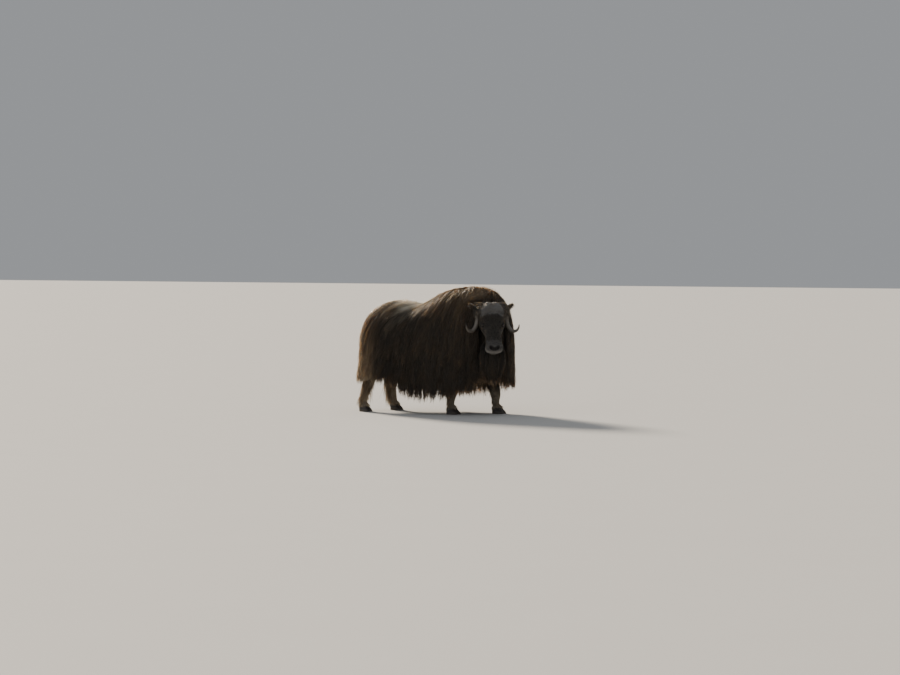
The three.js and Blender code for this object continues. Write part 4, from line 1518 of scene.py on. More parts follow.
    def forelock(self, rng: np.random.Generator, material: bpy.types.Material) -> None:
        """Grows the two woolly lobes of the forehead, curly and pale.

        Args:
            rng: The source of random draws.
            material: The material.
        """
        count, curls = self.forelock_count, 1.2
        lobe = rng.choice((-1, 1), count)
        start = rng.uniform(-0.045, 0.050, count)
        reach = rng.uniform(0.018, 0.042, count)
        offset = lobe * rng.uniform(0.004, 0.125, count)
        t = np.linspace(0, 1, 6)[None]
        x = start[:, None] + reach[:, None] * t
        share = np.arccos(np.clip(1 - 2 * (x - HEAD.back) / (HEAD.length - HEAD.back), -1, 1)) / math.pi
        phase = rng.uniform(0, TAU, count)[:, None]
        turned = rng.normal(0, 0.022, count)[:, None] * t
        curl = 0.008 * (np.sin(t * TAU * curls + phase) - np.sin(phase)) * t
        u = offset[:, None] + curl + turned
        dome = self.forelock_height * bump(np.abs(offset) - 0.055, 0.05) * (1 - rise(0.02, 0.07, start))
        height = through((0, -0.1), (0.3, 0.6), (0.6, 1), (1, 0.72))(t) * (dome + 0.004)[:, None]
        stagger = rng.uniform(-0.004, 0.004, count)[:, None]
        height = height + (0.005 * np.cos(t * TAU * curls + phase) + stagger) * t
        lines = HEAD.place(u, share, -height)
        taper = through((0, 0.8), (0.4, 1), (1, 0.15))(t)
        widths = taper * (self.forelock_half_width * rng.uniform(0.6, 1.4, count))[:, None]
        roots = np.stack((u[:, 0] % 1, share[:, 0]), axis=1)
        tufts = Tufts(lines, HEAD.normal(u, share), widths, roots, MARKINGS.head(lines[:, 0]),
                      rng.random(count), 0.6)
        tufts.on_head().make("forelock", material, "face_hair")

    def temples(self, rng: np.random.Generator, material: bpy.types.Material) -> None:
        """Grows the dark hair that falls from the poll over the upper half of both horns.

        Args:
            rng: The source of random draws.
            material: The material.
        """
        horns = Horns()
        halves = thinned((horns.fore, horns.across), 0.002)
        place = lambda u, t: tube_points(horns.path, halves, (1, 0, 0), False, u, t)
        for name, side in SIDES:
            fur = SurfaceFur(place, self.temple_count, stations=5, flatness=0.45)
            u, t = fur.spread(rng, 0.02, 0.42)
            lie = path_way(horns.path, t) + 0.7 * DOWN_IN_HEAD
            lengths = mix(0.095, 0.028, rise(0.08, 0.4, t)) * rng.uniform(0.7, 1.2, len(t))
            pale = 0.8 * (1 - rise(0.02, 0.14, t))[:, None]
            colours = mix(np.array(MARKINGS.throat), np.array(MARKINGS.forehead) * 0.6, pale)
            tufts = fur.grow(u, t, lie, lengths, rng.uniform(0.0, 0.14, len(t)), self.temple_half_width,
                             colours, rng, 0.35 * DOWN_IN_HEAD)
            tufts.on_head(side).make(f"temple_hair_{name}", material, "face_hair")

    def ears(self, rng: np.random.Generator, material: bpy.types.Material) -> None:
        """Grows the fur of both ears, longest on the rims and in the cups.

        Args:
            rng: The source of random draws.
            material: The material.
        """
        for name, side in SIDES:
            fur = SurfaceFur(EAR.place, self.ear_count)
            u, t = fur.spread(rng, 0.12, 0.97)
            rim = bump(np.abs(np.sin(u * TAU)) - 1, 0.16)
            inside = np.cos(u * TAU) > 0
            lengths = mix(0.012, 0.026, np.maximum(rim, 0.5 * inside))
            aside = np.stack((0.4 * inside, np.zeros(len(t)), 0.7 * rim * -np.sin(u * TAU)), axis=1)
            colours = mix(np.array(MARKINGS.ear), np.array(MARKINGS.forehead), (0.75 * rim)[:, None])
            lie = path_way(EAR.path, t) + aside
            tufts = fur.grow(u, t, lie, lengths, 0.3, self.ear_half_width, colours, rng)
            tufts.on_head(side).make(f"ear_fur_{name}", material, "face_hair")

    def legs(self, rng: np.random.Generator, material: bpy.types.Material) -> None:
        """Grows the short pale fur of the legs, down to a fringe over each hoof.

        Args:
            rng: The source of random draws.
            material: The material.
        """
        for leg in LEGS:
            fur = SurfaceFur(lambda u, v, leg=leg: leg.place(u, v, self.leg_inset), self.leg_count)
            u, t = fur.spread(rng, 0.2, 0.998)
            points = fur.place(u, t)
            lie = np.array((-0.12, 0.0, -1.0)) + rng.normal(0, 0.12, (len(u), 3))
            low = rise(0.74, 0.90, t)
            hind = leg.foot is Foot.HIND
            behind = rise(0.5 if hind else 0.0, -0.8, np.cos(u * TAU)) * (1 - rise(0.62, 0.8, t))
            longest = self.hind_fringe if hind else self.fore_fringe
            lengths = mix(0.024, 0.052, low) + longest * behind * rng.uniform(0.4, 1.0, len(u))
            lengths = np.minimum(lengths, (points[:, 2] - 0.021) * 0.74)
            lift = mix(0.20, 0.66, low) + 0.22 * behind
            widths = mix(*self.leg_half_widths, behind)
            # The hair behind the hind legs takes the rump's golden colour, partly painted rim light on the
            # fringe
            colours = mix(MARKINGS.body(points), np.array(MARKINGS.rear), 0.6 * hind * behind[:, None])
            tufts = fur.grow(u, t, lie, lengths, lift, widths, colours, rng, (0, 0, -0.25))
            tufts.make(f"{leg.name}_fur", material, "stocking_hair")

    def tail(self, rng: np.random.Generator, material: bpy.types.Material) -> None:
        """Grows the tail's long hair, which the coat nearly hides.

        Args:
            rng: The source of random draws.
            material: The material.
        """
        fur = SurfaceFur(tail_place, self.tail_count, stations=5)
        u, t = fur.spread(rng, 0.25, 0.98)
        tufts = fur.grow(u, t, np.array((-0.15, 0.0, -1.0)), self.tail_length, 0.2, self.tail_half_width,
                         MARKINGS.body(tail_place(u, t)), rng)
        tufts.make("tail_fur", material, "guard_hair")

    def build(self, guard: bpy.types.Material, face: bpy.types.Material,
              stocking: bpy.types.Material) -> None:
        """Grows every part of the coat, each from a random source of its own.

        Args:
            guard: The material of the long coat.
            face: The material of the fur of head and ears.
            stocking: The material of the fur of the legs.
        """
        steps = ((self.torso, guard), (self.throat, guard), (self.wool, guard), (self.tail, guard),
                 (self.face, face), (self.forelock, face), (self.ears, face), (self.legs, stocking),
                 (self.temples, face), (self.jaw, guard), (self.ridge, guard))
        for number, (step, material) in enumerate(steps):
            step(np.random.default_rng(SEED + number), material)


def spaced(count: int, thick: Curve, closed: bool) -> Array:
    """Spreads places from 0 to 1 so that they lie closer together where they are wanted.

    Args:
        count: How many places.
        thick: How close together they are wanted, at places from 0 to 1.
        closed: Whether the last place comes round to the first and is left out.

    Returns:
        The places.
    """
    fine = np.linspace(0, 1, 2001)
    total = np.concatenate(((0,), np.cumsum((thick(fine)[1:] + thick(fine)[:-1]) / 2)))
    return np.interp(np.linspace(0, 1, count, endpoint=not closed), total / total[-1], fine)


@dataclass
class Skin:
    """One skin over body, legs, tail, head and ears, with lids, nostrils and lips."""

    body_depth: float = 0.42
    voxel: float = 0.013
    rings: int = 212
    columns: int = 224
    under_fur: float = 0.004
    ankle: float = 0.05

    def tube(self, name: str, rings: int, columns: int, place: Surface,
             floor: float | None = None) -> bpy.types.Object:
        """Makes a closed tube from a surface function.

        Args:
            name: The piece's name.
            rings: Rings along it.
            columns: Vertices in each ring.
            place: The surface, over shares of the way round and along.
            floor: The height that the last ring is brought down to.

        Returns:
            The tube.
        """
        points = place(*grid(rings, columns))
        if floor is not None:
            points[-columns:, 2] = floor
        return make_mesh(name, points, closed_faces(rings, columns))

    def body(self) -> bpy.types.Object:
        """Makes body, legs and tail and fuses them into one smooth form.

        Returns:
            The form.
        """
        parts = []
        for name, bell, _, _ in UPPER_BELLS:
            place = lambda u, t, bell=bell: bell.point(u, t, np.full(u.shape, self.body_depth), hanging=False)
            parts.append(self.tube(f"body_{name}", 48, 72, place))
        for leg in LEGS:
            place = lambda u, t, leg=leg: leg.place(u, t, UNDER_HAIR)
            parts.append(self.tube(f"body_{leg.name}", 40, 40, place, self.ankle))
        parts.append(self.tube("body_tail", 20, 24, tail_place))
        body = joined("body", parts)
        with_modifier(body, "REMESH", mode="VOXEL", voxel_size=self.voxel, use_smooth_shade=True)
        with_modifier(body, "SMOOTH", factor=0.5, iterations=3)
        return body

    def head(self) -> bpy.types.Object:
        """Makes the head with its lids, nostrils, lips and folds, finest round eyes, nose and mouth.

        Returns:
            The head.
        """
        thick_along = lambda v: 1.0 + 4.2 * bump(v - 0.487, 0.034) + 1.7 * rise(0.80, 0.88, v)
        thick_round = lambda u: (1.0 + 1.5 * (bump(u - 0.165, 0.03) + bump(u - 0.835, 0.03))
                                 + 0.9 * (bump(u - 0.36, 0.04) + bump(u - 0.64, 0.04)))
        v = 0.003 + spaced(self.rings, thick_along, closed=False) * 0.9955
        along, around = np.meshgrid(v, spaced(self.columns, thick_round, closed=True), indexing="ij")
        around, along = around.ravel(), along.ravel()
        furred = 1 - self.bareness(HEAD.place(around, along))
        points = HEAD.place(around, along, self.under_fur * furred)
        normal = HEAD.normal(around, along)
        points = HEAD.with_folds(HEAD.with_muzzle(HEAD.with_lids(points), normal), normal)
        return make_mesh("head_form", head_to_body(points), closed_faces(self.rings, self.columns))

    def bareness(self, points: Array) -> Array:
        """Tells how bare the face is.

        Args:
            points: Points in the head's own frame.

        Returns:
            For each, from 0 in fur to 1 on nose, lips and lids.
        """
        x, y, z = folded(points)
        lids = (1 - rise(1.25, 1.7, HEAD.lid_place(points))) * rise(-0.01, 0.0, HEAD.eye_place(points)[2])
        nose = rise(0.448, 0.464, x) * (1 - rise(0.045, 0.056, y)) * rise(-0.010, 0.0, z)
        nose = nose * (1 - rise(0.042, 0.053, z))
        wide = 0.003 * rise(0.435, 0.465, x)
        lips = 1 - rise(0.004 + wide, 0.008 + 2 * wide, np.abs(HEAD.mouth_place(points)))
        return np.maximum(np.maximum(lids, nose), lips * rise(0.35, 0.38, x))

    def ear(self, side: int) -> bpy.types.Object:
        """Makes one ear.

        Args:
            side: 1 for the left ear, -1 for the right one.

        Returns:
            The ear.
        """
        rings, columns = 34, 56
        points = mirrored(EAR.place(*grid(rings, columns)), side)
        faces = closed_faces(rings, columns)
        if side < 0:
            faces = [tuple(reversed(face)) for face in faces]
        return make_mesh(f"ear_form_{side}", head_to_body(points), faces)

    def build(self, material: bpy.types.Material) -> None:
        """Fuses all forms into the one skin, marks it and lays it over the flesh.

        Args:
            material: The skin's material.
        """
        skin = self.head()
        for other in (self.ear(1), self.ear(-1), self.body()):
            turn_outward(other)
            turn_outward(skin)
            with_modifier(skin, "BOOLEAN", operation="UNION", solver="MANIFOLD", object=other)
            bpy.data.objects.remove(other)
        skin.name = skin.data.name = "skin"
        points = vertex_places(skin) - OFFSET
        set_attribute(skin.data, "marking", MARKINGS.skin(points))
        in_head = body_to_head(points)
        near = np.linalg.norm(in_head - (0.22, 0, 0), axis=1) < 0.34
        set_attribute(skin.data, "bare", np.where(near, self.bareness(in_head), 0))
        skin.data.shade_smooth()
        dress(skin, material, "face_hair", "head", "ear_left", "ear_right", "neck", "shoulders", "rump",
              "tail", *(leg.name for leg in LEGS))


def turn_outward(piece: bpy.types.Object) -> None:
    """Turns all faces of a closed mesh to look out of it."""
    mesh = bmesh.new()
    mesh.from_mesh(piece.data)
    bmesh.ops.recalc_face_normals(mesh, faces=mesh.faces)
    mesh.to_mesh(piece.data)
    mesh.free()


@dataclass
class Horns:
    """The two slender horns, which sweep down past the cheeks and hook forward and up."""

    path: Array = field(default_factory=lambda: np.array((
        (-24, 22, 40), (-28, 76, 58), (-10, 116, 42), (40, 133, 6), (92, 139, -24), (148, 157, -46),
        (193, 192, -49), (213, 226, -20), (205, 243, 8), (180, 250, 36))) / 1000)
    fore: Curve = through((0, 0.034), (0.16, 0.044), (0.3, 0.033), (0.5, 0.022), (0.7, 0.016),
                          (0.88, 0.010), (1, 0.003))
    across: Curve = through((0, 0.018), (0.16, 0.023), (0.3, 0.023), (0.5, 0.019), (0.7, 0.014),
                            (0.88, 0.009), (1, 0.003))
    rings: int = 220
    columns: int = 72

    def build(self, material: bpy.types.Material) -> None:
        """Makes both horns with a fibrous base and faint growth rings.

        Args:
            material: Their material.
        """
        rng = np.random.default_rng(SEED + 20)
        fibres = rng.normal(0, 1, self.columns)
        fibres = (fibres + 0.6 * np.roll(fibres, 1) + 0.6 * np.roll(fibres, -1)) / 1.6
        fibres = np.tile(fibres, self.rings)
        around, along = grid(self.rings, self.columns, 0, 0.996)
        base = 1 - rise(0.2, 0.62, along)
        drift = np.sin(along * 24 + fibres * 2)
        rough = 0.0009 * base * fibres * (0.6 + 0.4 * drift)
        rings = 0.0006 * base * np.sin(along * 190 + 1.4 * np.sin(around * TAU * 2))
        rings += 0.0012 * base * np.sin(along * 57 + np.sin(around * TAU))
        round_end = np.sqrt(1 - rise(0.93, 1.0, along) ** 2 * 0.92)
        halves = (lambda t: self.fore(t) * round_end, lambda t: self.across(t) * round_end)
        points = tube_points(self.path, thinned(halves, -(rough + rings)), (1, 0, 0), False, around, along)
        for name, side in SIDES:
            faces = closed_faces(self.rings, self.columns)
            horn = make_mesh(f"horn_{name}_worn", head_to_body(mirrored(points, side)), faces)
            turn_outward(horn)
            set_attribute(horn.data, "reach", along)
            dress(horn, material, "horn", f"horn_{name}")


@dataclass
class Eyes:
    """Two dark wet eyes with a level, oblong pupil under a clear bulging front."""

    iris: float = 0.0098
    bulge: float = 0.0012
    pupil: tuple[float, float] = (0.0066, 0.0030)
    iris_colour: Colour = (0.040, 0.018, 0.008)
    rim_colour: Colour = (0.008, 0.005, 0.004)
    white_colour: Colour = (0.016, 0.011, 0.009)
    pupil_colour: Colour = (0.002, 0.002, 0.004)

    def build(self, material: bpy.types.Material) -> None:
        """Makes both eyes.

        Args:
            material: Their material.
        """
        rings, columns = 72, 96
        around, down = grid(rings, columns, 0.004, 1 - 0.004)
        polar, turn = down**1.35 * math.pi, around * TAU
        along, up = HEAD.eye_axes()
        a, b = np.sin(polar) * np.cos(turn), np.sin(polar) * np.sin(turn)
        off_axis = np.hypot(a, b) * EYE_RADIUS / self.iris
        front = np.cos(polar) > 0
        swollen = EYE_RADIUS + self.bulge * (1 - rise(0.6, 1.15, off_axis)) * front
        out = a[:, None] * along + b[:, None] * up + np.cos(polar)[:, None] * HEAD.eye_out
        place = EYE_CENTRE + out * swollen[:, None]
        in_iris = (1 - rise(0.94, 1.06, off_axis)) * front
        half_length, half_height = self.pupil
        pupil = np.abs(a * EYE_RADIUS / half_length) ** 3 + np.abs(b * EYE_RADIUS / half_height) ** 3
        fibres = 0.75 + 0.35 * np.sin(turn * 38 + 2 * np.sin(turn * 11)) * rise(0.2, 0.7, off_axis)
        ring = over(np.array(self.iris_colour) * fibres[:, None], rise(0.72, 0.98, off_axis), self.rim_colour)
        colours = mix(np.array(self.white_colour), ring, in_iris[:, None])
        colours = over(colours, (1 - rise(0.8, 1.1, pupil)) * in_iris, self.pupil_colour)
        for name, side in SIDES:
            faces = closed_faces(rings, columns)
            eye = make_mesh(f"eyeball_{name}", head_to_body(mirrored(place, side)), faces)
            turn_outward(eye)
            set_attribute(eye.data, "marking", colours)
            dress(eye, material, "eye", f"eye_{name}")


@dataclass
class Hooves:
    """Four split hooves: two toes each with worn walls, and two small dewclaws behind."""

    toe_path: tuple[tuple[float, float, float], ...] = ((0.016, 1, 0.0), (0.010, 0.94, 0.022),
                                                        (-0.002, 0.68, 0.044), (-0.006, 0.55, 0.058))
    rings: int = 40
    columns: int = 72
    claw_size: tuple[float, float, float] = (0.009, 0.007, 0.013)
    claw_place: tuple[float, float, float] = (-0.031, 0.013, HOOF_TOP + 0.022)

    def toe(self, leg: Leg, side: int) -> tuple[Array, Faces]:
        """Makes one toe round the origin.

        Args:
            leg: The leg that it belongs to.
            side: 1 for the toe on the animal's left, -1 for the other.

        Returns:
            Vertices and faces.
        """
        width = leg.hoof_width
        path = np.array([(x, side * width * share, z) for x, share, z in self.toe_path])
        taper = through((0, 0.93), (0.3, 1), (1, 0.98))
        around, along = grid(self.rings, self.columns)
        wall = 0.0004 * np.sin(along * 46 + 0.8 * np.sin(around * TAU * 3)) + 0.0002 * np.sin(along * 131)
        edge = -0.0022 * (1 - rise(0, 0.06, along))
        from_cleft = (around - (0.75 if side > 0 else 0.25) + 0.5) % 1 - 0.5
        worn = wall + edge + -0.003 * bump(from_cleft, 0.12) * rise(0.0, 0.3, along)
        pointed = 1 + 0.10 * np.clip(np.cos(around * TAU), 0, 1) ** 3
        halves = (lambda t: leg.hoof_length * mix(1, 0.72, t) * pointed * 0.96 + worn,
                  lambda t: width * taper(t) + worn)
        points = tube_points(path, halves, (1, 0, 0), True, around, along)
        return points, closed_faces(self.rings, self.columns)

    def claw(self, side: int) -> tuple[Array, Faces]:
        """Makes one dewclaw round the origin.

        Args:
            side: 1 for the claw on the animal's left, -1 for the other.

        Returns:
            Vertices and faces.
        """
        rings, columns = 16, 24
        around, down = grid(rings, columns, 0.02, 0.98)
        polar, turn = down * math.pi, around * TAU
        shape = np.stack((np.sin(polar) * np.cos(turn), np.sin(polar) * np.sin(turn), np.cos(polar)), axis=1)
        return shape * self.claw_size + mirrored(self.claw_place, side), closed_faces(rings, columns)

    def build(self, material: bpy.types.Material) -> None:
        """Makes the hooves of all four legs.

        Args:
            material: Their material.
        """
        for leg in LEGS:
            turn = np.array(Matrix.Rotation(math.radians(leg.heading), 3, "Z"))
            foot = np.array((*leg.path[-1][:2], 0))
            pieces = []
            for side in (1, -1):
                for number, (points, faces) in enumerate((self.toe(leg, side), self.claw(side))):
                    pieces.append(make_mesh(f"{leg.name}_{side}_{number}", points @ turn.T + foot, faces))
            name = leg.name.replace("leg", "hoof")
            hoof = joined(f"{name}_worn", pieces)
            turn_outward(hoof)
            set_attribute(hoof.data, "height", vertex_places(hoof)[:, 2])
            dress(hoof, material, "hoof", name)


class NodeSheet:
    """Adds nodes to a node tree and links them in a few words."""

    def __init__(self, tree: bpy.types.NodeTree) -> None:
        """Starts on a tree."""
        self.tree = tree

    def feed(self, node: bpy.types.Node, inputs: dict[str | int, object]) -> None:
        """Fills the inputs of a node.

        Args:
            node: The node.
            inputs: A value or an output socket for each named or numbered input.
        """
        for key, value in inputs.items():
            if isinstance(value, bpy.types.NodeSocket):
                self.tree.links.new(value, node.inputs[key])
            else:
                node.inputs[key].default_value = value

    def add(self, kind: str, inputs: dict[str | int, object] | None = None,
            **settings: object) -> bpy.types.Node:
        """Adds a node.

        Args:
            kind: Its type, without "ShaderNode".
            inputs: A value or an output socket for each named or numbered input.
            settings: Its settings.

        Returns:
            The node.
        """
        node = self.tree.nodes.new(kind if kind.startswith("Node") else f"ShaderNode{kind}")
        for key, value in settings.items():
            setattr(node, key, value)
        self.feed(node, inputs or {})
        return node

    def attribute(self, name: str, output: str = "Fac") -> bpy.types.NodeSocket:
        """Reads a value stored in the mesh."""
        return self.add("Attribute", attribute_name=name).outputs[output]

    def math(self, operation: str, *values: object) -> bpy.types.NodeSocket:
        """Reckons with numbers."""
        return self.add("Math", dict(enumerate(values)), operation=operation).outputs[0]

    def times(self, first: object, second: object) -> bpy.types.NodeSocket:
        """Multiplies two numbers."""
        return self.math("MULTIPLY", first, second)

    def scaled(self, colour: object, factor: object) -> bpy.types.NodeSocket:
        """Makes a colour lighter or darker by a factor."""
        return self.add("VectorMath", {0: colour, "Scale": factor}, operation="SCALE").outputs[0]

    def ramp(self, value: object, low: float, high: float, to_low: object = 0.0,
             to_high: object = 1.0) -> bpy.types.NodeSocket:
        """Maps one range to another, with an end to it on both sides."""
        return self.add("MapRange", {"Value": value, "From Min": low, "From Max": high, "To Min": to_low,
                                     "To Max": to_high}).outputs[0]

    def blend(self, share: object, first: object, second: object, kind: str = "MIX") -> bpy.types.NodeSocket:
        """Blends two colours."""
        return self.add("Mix", {0: share, 6: first, 7: second}, data_type="RGBA", blend_type=kind).outputs[2]

    def noise(self, vector: object, scale: object, detail: float = 3.0,
              rough: float = 0.55) -> bpy.types.NodeSocket:
        """Adds a cloudy pattern."""
        return self.add("TexNoise", {"Vector": vector, "Scale": scale, "Detail": detail,
                                     "Roughness": rough}).outputs["Fac"]

    def stretched(self, scale: tuple[float, float, float]) -> bpy.types.NodeSocket:
        """Gives places in the object, stretched along its axes."""
        place = self.add("TexCoord").outputs["Object"]
        return self.add("Mapping", {"Vector": place, "Scale": scale}).outputs[0]

    def grain(self, group: bpy.types.NodeTree, stretch: tuple[float, float, float], scale: float,
              contrast: float) -> tuple[bpy.types.NodeSocket, bpy.types.NodeSocket]:
        """Places the shared grain and gives its mask and its height."""
        values = {"Stretch": stretch, "Scale": scale, "Contrast": contrast}
        outputs = self.add("Group", values, node_tree=group).outputs
        return outputs["Mask"], outputs["Height"]

    def bumped(self, height: object, strength: float, distance: float) -> bpy.types.NodeSocket:
        """Turns a height into a normal."""
        return self.add("Bump", {"Strength": strength, "Distance": distance, "Height": height}).outputs[0]


def new_group(name: str, inputs: dict[str, tuple[str, object]],
              outputs: dict[str, str]) -> tuple[NodeSheet, bpy.types.NodeOutputs, bpy.types.Node]:
    """Starts a shader node group with named inputs and outputs.

    Args:
        name: The group's name.
        inputs: Socket type and starting value of each input.
        outputs: Socket type of each output.

    Returns:
        A sheet to add nodes with, the sockets of its input node, and its output node.
    """
    group = bpy.data.node_groups.new(name, "ShaderNodeTree")
    for label, (kind, value) in inputs.items():
        socket = group.interface.new_socket(label, in_out="INPUT", socket_type=f"NodeSocket{kind}")
        socket.default_value = value
    for label, kind in outputs.items():
        group.interface.new_socket(label, in_out="OUTPUT", socket_type=f"NodeSocket{kind}")
    sheet = NodeSheet(group)
    return sheet, sheet.add("NodeGroupInput").outputs, sheet.add("NodeGroupOutput")


def strand_group() -> bpy.types.NodeTree:
    """Makes the group that colours a tuft from root to tip, each tuft a little apart from the next."""
    sheet, given, out = new_group(
        "strand_colour",
        {"Marking": ("Color", (0.1, 0.1, 0.1, 1)), "Root Shade": ("Float", 0.5), "Tip Light": ("Float", 1.3),
         "Spread": ("Float", 0.5), "Tip Tint": ("Color", (0.5, 0.35, 0.2, 1)), "Tip Share": ("Float", 0.1)},
        {"Colour": "Color", "Roughness": "Float", "Height": "Float"})
    tone, reach = sheet.attribute("tone"), sheet.attribute("reach")
    cloud = sheet.noise(sheet.stretched((1, 1, 0.3)), 9.0)
    own = sheet.math("ADD", sheet.times(tone, 0.7), sheet.times(cloud, 0.6))
    lightness = sheet.math("ADD", 1.0, sheet.times(sheet.math("SUBTRACT", own, 0.65), given["Spread"]))
    shade = sheet.ramp(reach, 0.0, 0.85, given["Root Shade"], given["Tip Light"])
    scaled = sheet.scaled(given["Marking"], sheet.times(lightness, shade))
    tip = sheet.times(sheet.math("POWER", reach, 2.0), given["Tip Share"])
    tipped = sheet.blend(sheet.times(tip, tone), scaled, given["Tip Tint"])
    place = sheet.add("VectorMath", {0: sheet.attribute("OFBake", "Vector"), 1: (2600, 420, 1)},
                      operation="MULTIPLY").outputs[0]
    fine = sheet.noise(place, 1.0, 2.0)
    dark = sheet.blend(1.0, tipped, (0.55, 0.52, 0.5, 1), "MULTIPLY")
    sheet.feed(out, {"Colour": sheet.blend(sheet.ramp(fine, 0.3, 0.7, 0.0, 0.5), tipped, dark),
                     "Roughness": sheet.ramp(own, 0.2, 1.0, 0.62, 0.44), "Height": fine})
    return sheet.tree


def grain_group() -> bpy.types.NodeTree:
    """Makes the group of stretched grain that horn, hoof and skin share."""
    sheet, given, out = new_group(
        "stretched_grain",
        {"Stretch": ("Vector", (1, 1, 1)), "Scale": ("Float", 60.0), "Contrast": ("Float", 0.5)},
        {"Mask": "Float", "Height": "Float"})
    place = sheet.add("TexCoord").outputs["Object"]
    stretched = sheet.add("VectorMath", {0: place, 1: given["Stretch"]}, operation="MULTIPLY").outputs[0]
    coarse = sheet.noise(stretched, given["Scale"], 5.0, 0.6)
    fine = sheet.noise(stretched, sheet.times(given["Scale"], 5.3), 3.0, 0.5)
    both = sheet.math("ADD", sheet.times(coarse, 0.65), sheet.times(fine, 0.35))
    spread = sheet.times(sheet.math("SUBTRACT", both, 0.5), given["Contrast"])
    mask = sheet.add("Math", {0: sheet.math("ADD", spread, 0.5), 1: 0.0}, operation="ADD", use_clamp=True)
    sheet.feed(out, {"Mask": mask.outputs[0], "Height": both})
    return sheet.tree


def new_material(name: str) -> tuple[bpy.types.Material, NodeSheet, bpy.types.Node]:
    """Starts a material and gives it with a sheet for its nodes and its shader."""
    material = bpy.data.materials.new(name)
    material.use_nodes = True
    return material, NodeSheet(material.node_tree), material.node_tree.nodes["Principled BSDF"]


def opaque(colour: Colour) -> tuple[float, float, float, float]:
    """Adds a fourth value of 1 to a colour."""
    return (*colour, 1)


@dataclass(frozen=True)
class HairFinish:
    """The finish of hair in tufts."""

    name: str
    root_shade: float
    tip_light: float
    spread: float
    tip_tint: Colour
    tip_share: float
    sheen: float
    glow: float
    bump: float
    sheen_tint: Colour = (1.0, 0.86, 0.66)
    glow_radius: Colour = (1.0, 0.66, 0.40)

    def make(self, strand: bpy.types.NodeTree) -> bpy.types.Material:
        """Makes the material.

        Args:
            strand: The group that colours a tuft.

        Returns:
            The material.
        """
        material, sheet, shader = new_material(self.name)
        tuft = sheet.add("Group", {
            "Marking": sheet.attribute("marking", "Color"), "Root Shade": self.root_shade,
            "Tip Light": self.tip_light, "Spread": self.spread, "Tip Tint": opaque(self.tip_tint),
            "Tip Share": self.tip_share}, node_tree=strand).outputs
        sheet.feed(shader, {
            "Base Color": tuft["Colour"], "Roughness": tuft["Roughness"],
            "Normal": sheet.bumped(tuft["Height"], self.bump, 0.0008), "Specular IOR Level": 0.35,
            "Sheen Weight": self.sheen, "Sheen Roughness": 0.45, "Sheen Tint": opaque(self.sheen_tint),
            "Subsurface Weight": self.glow, "Subsurface Scale": 0.012,
            "Subsurface Radius": self.glow_radius})
        return material


@dataclass(frozen=True)
class SkinFinish:
    """The skin's finish: short underfur in the coat's colours, and bare leathery nose, lips and lids."""

    name: str = "skin_underfur"
    fur_rough: float = 0.8
    bare_rough: float = 0.55
    fur_shade: Colour = (0.70, 0.68, 0.66)
    pore_scale: float = 520.0

    def make(self, grain: bpy.types.NodeTree) -> bpy.types.Material:
        """Makes the material.

        Args:
            grain: The group of stretched grain.

        Returns:
            The material.
        """
        material, sheet, shader = new_material(self.name)
        marking, bare = sheet.attribute("marking", "Color"), sheet.attribute("bare")
        fur_mask, fur_height = sheet.grain(grain, (1, 1, 0.35), 160.0, 1.6)
        leather = sheet.add("TexVoronoi", {"Vector": sheet.stretched((1, 1, 1)), "Scale": self.pore_scale},
                            feature="DISTANCE_TO_EDGE").outputs["Distance"]
        furry = sheet.blend(fur_mask, sheet.blend(1.0, marking, opaque(self.fur_shade), "MULTIPLY"), marking)
        leathery = sheet.scaled(marking, sheet.ramp(leather, 0.0, 0.12, 0.7, 1.0))
        height = sheet.add("Mix", {0: bare, 2: fur_height, 3: sheet.ramp(leather, 0.0, 0.1, 0.0, 0.5)})
        sheet.feed(shader, {
            "Base Color": sheet.blend(bare, furry, leathery), "Specular IOR Level": 0.25,
            "Roughness": sheet.ramp(bare, 0.0, 1.0, self.fur_rough, self.bare_rough),
            "Normal": sheet.bumped(height.outputs[0], 0.5, 0.0015)})
        return material


@dataclass(frozen=True)
class HornFinish:
    """The finish of the horns: pale grey, fibrous at the base and dark at the tip."""

    name: str = "horn_grey"
    base: Colour = (0.090, 0.077, 0.061)
    middle: Colour = (0.150, 0.138, 0.122)
    tip: Colour = (0.045, 0.038, 0.033)
    stain: Colour = (0.09, 0.068, 0.05)

    def make(self, grain: bpy.types.NodeTree) -> bpy.types.Material:
        """Makes the material.

        Args:
            grain: The group of stretched grain.

        Returns:
            The material.
        """
        material, sheet, shader = new_material(self.name)
        reach = sheet.attribute("reach")
        streaks, height = sheet.grain(grain, (1, 1, 0.3), 70.0, 2.4)
        body = sheet.blend(sheet.ramp(reach, 0.15, 0.55), opaque(self.base), opaque(self.middle))
        body = sheet.blend(sheet.ramp(reach, 0.78, 0.97), body, opaque(self.tip))
        near_base = sheet.ramp(reach, 0.1, 0.8, 0.75, 0.25)
        stained = sheet.times(sheet.ramp(streaks, 0.35, 0.75, 1.0, 0.0), near_base)
        sheet.feed(shader, {
            "Base Color": sheet.blend(stained, body, opaque(self.stain)),
            "Roughness": sheet.ramp(reach, 0.1, 0.8, 0.62, 0.36),
            "Normal": sheet.bumped(height, 0.6, 0.0012)})
        return material


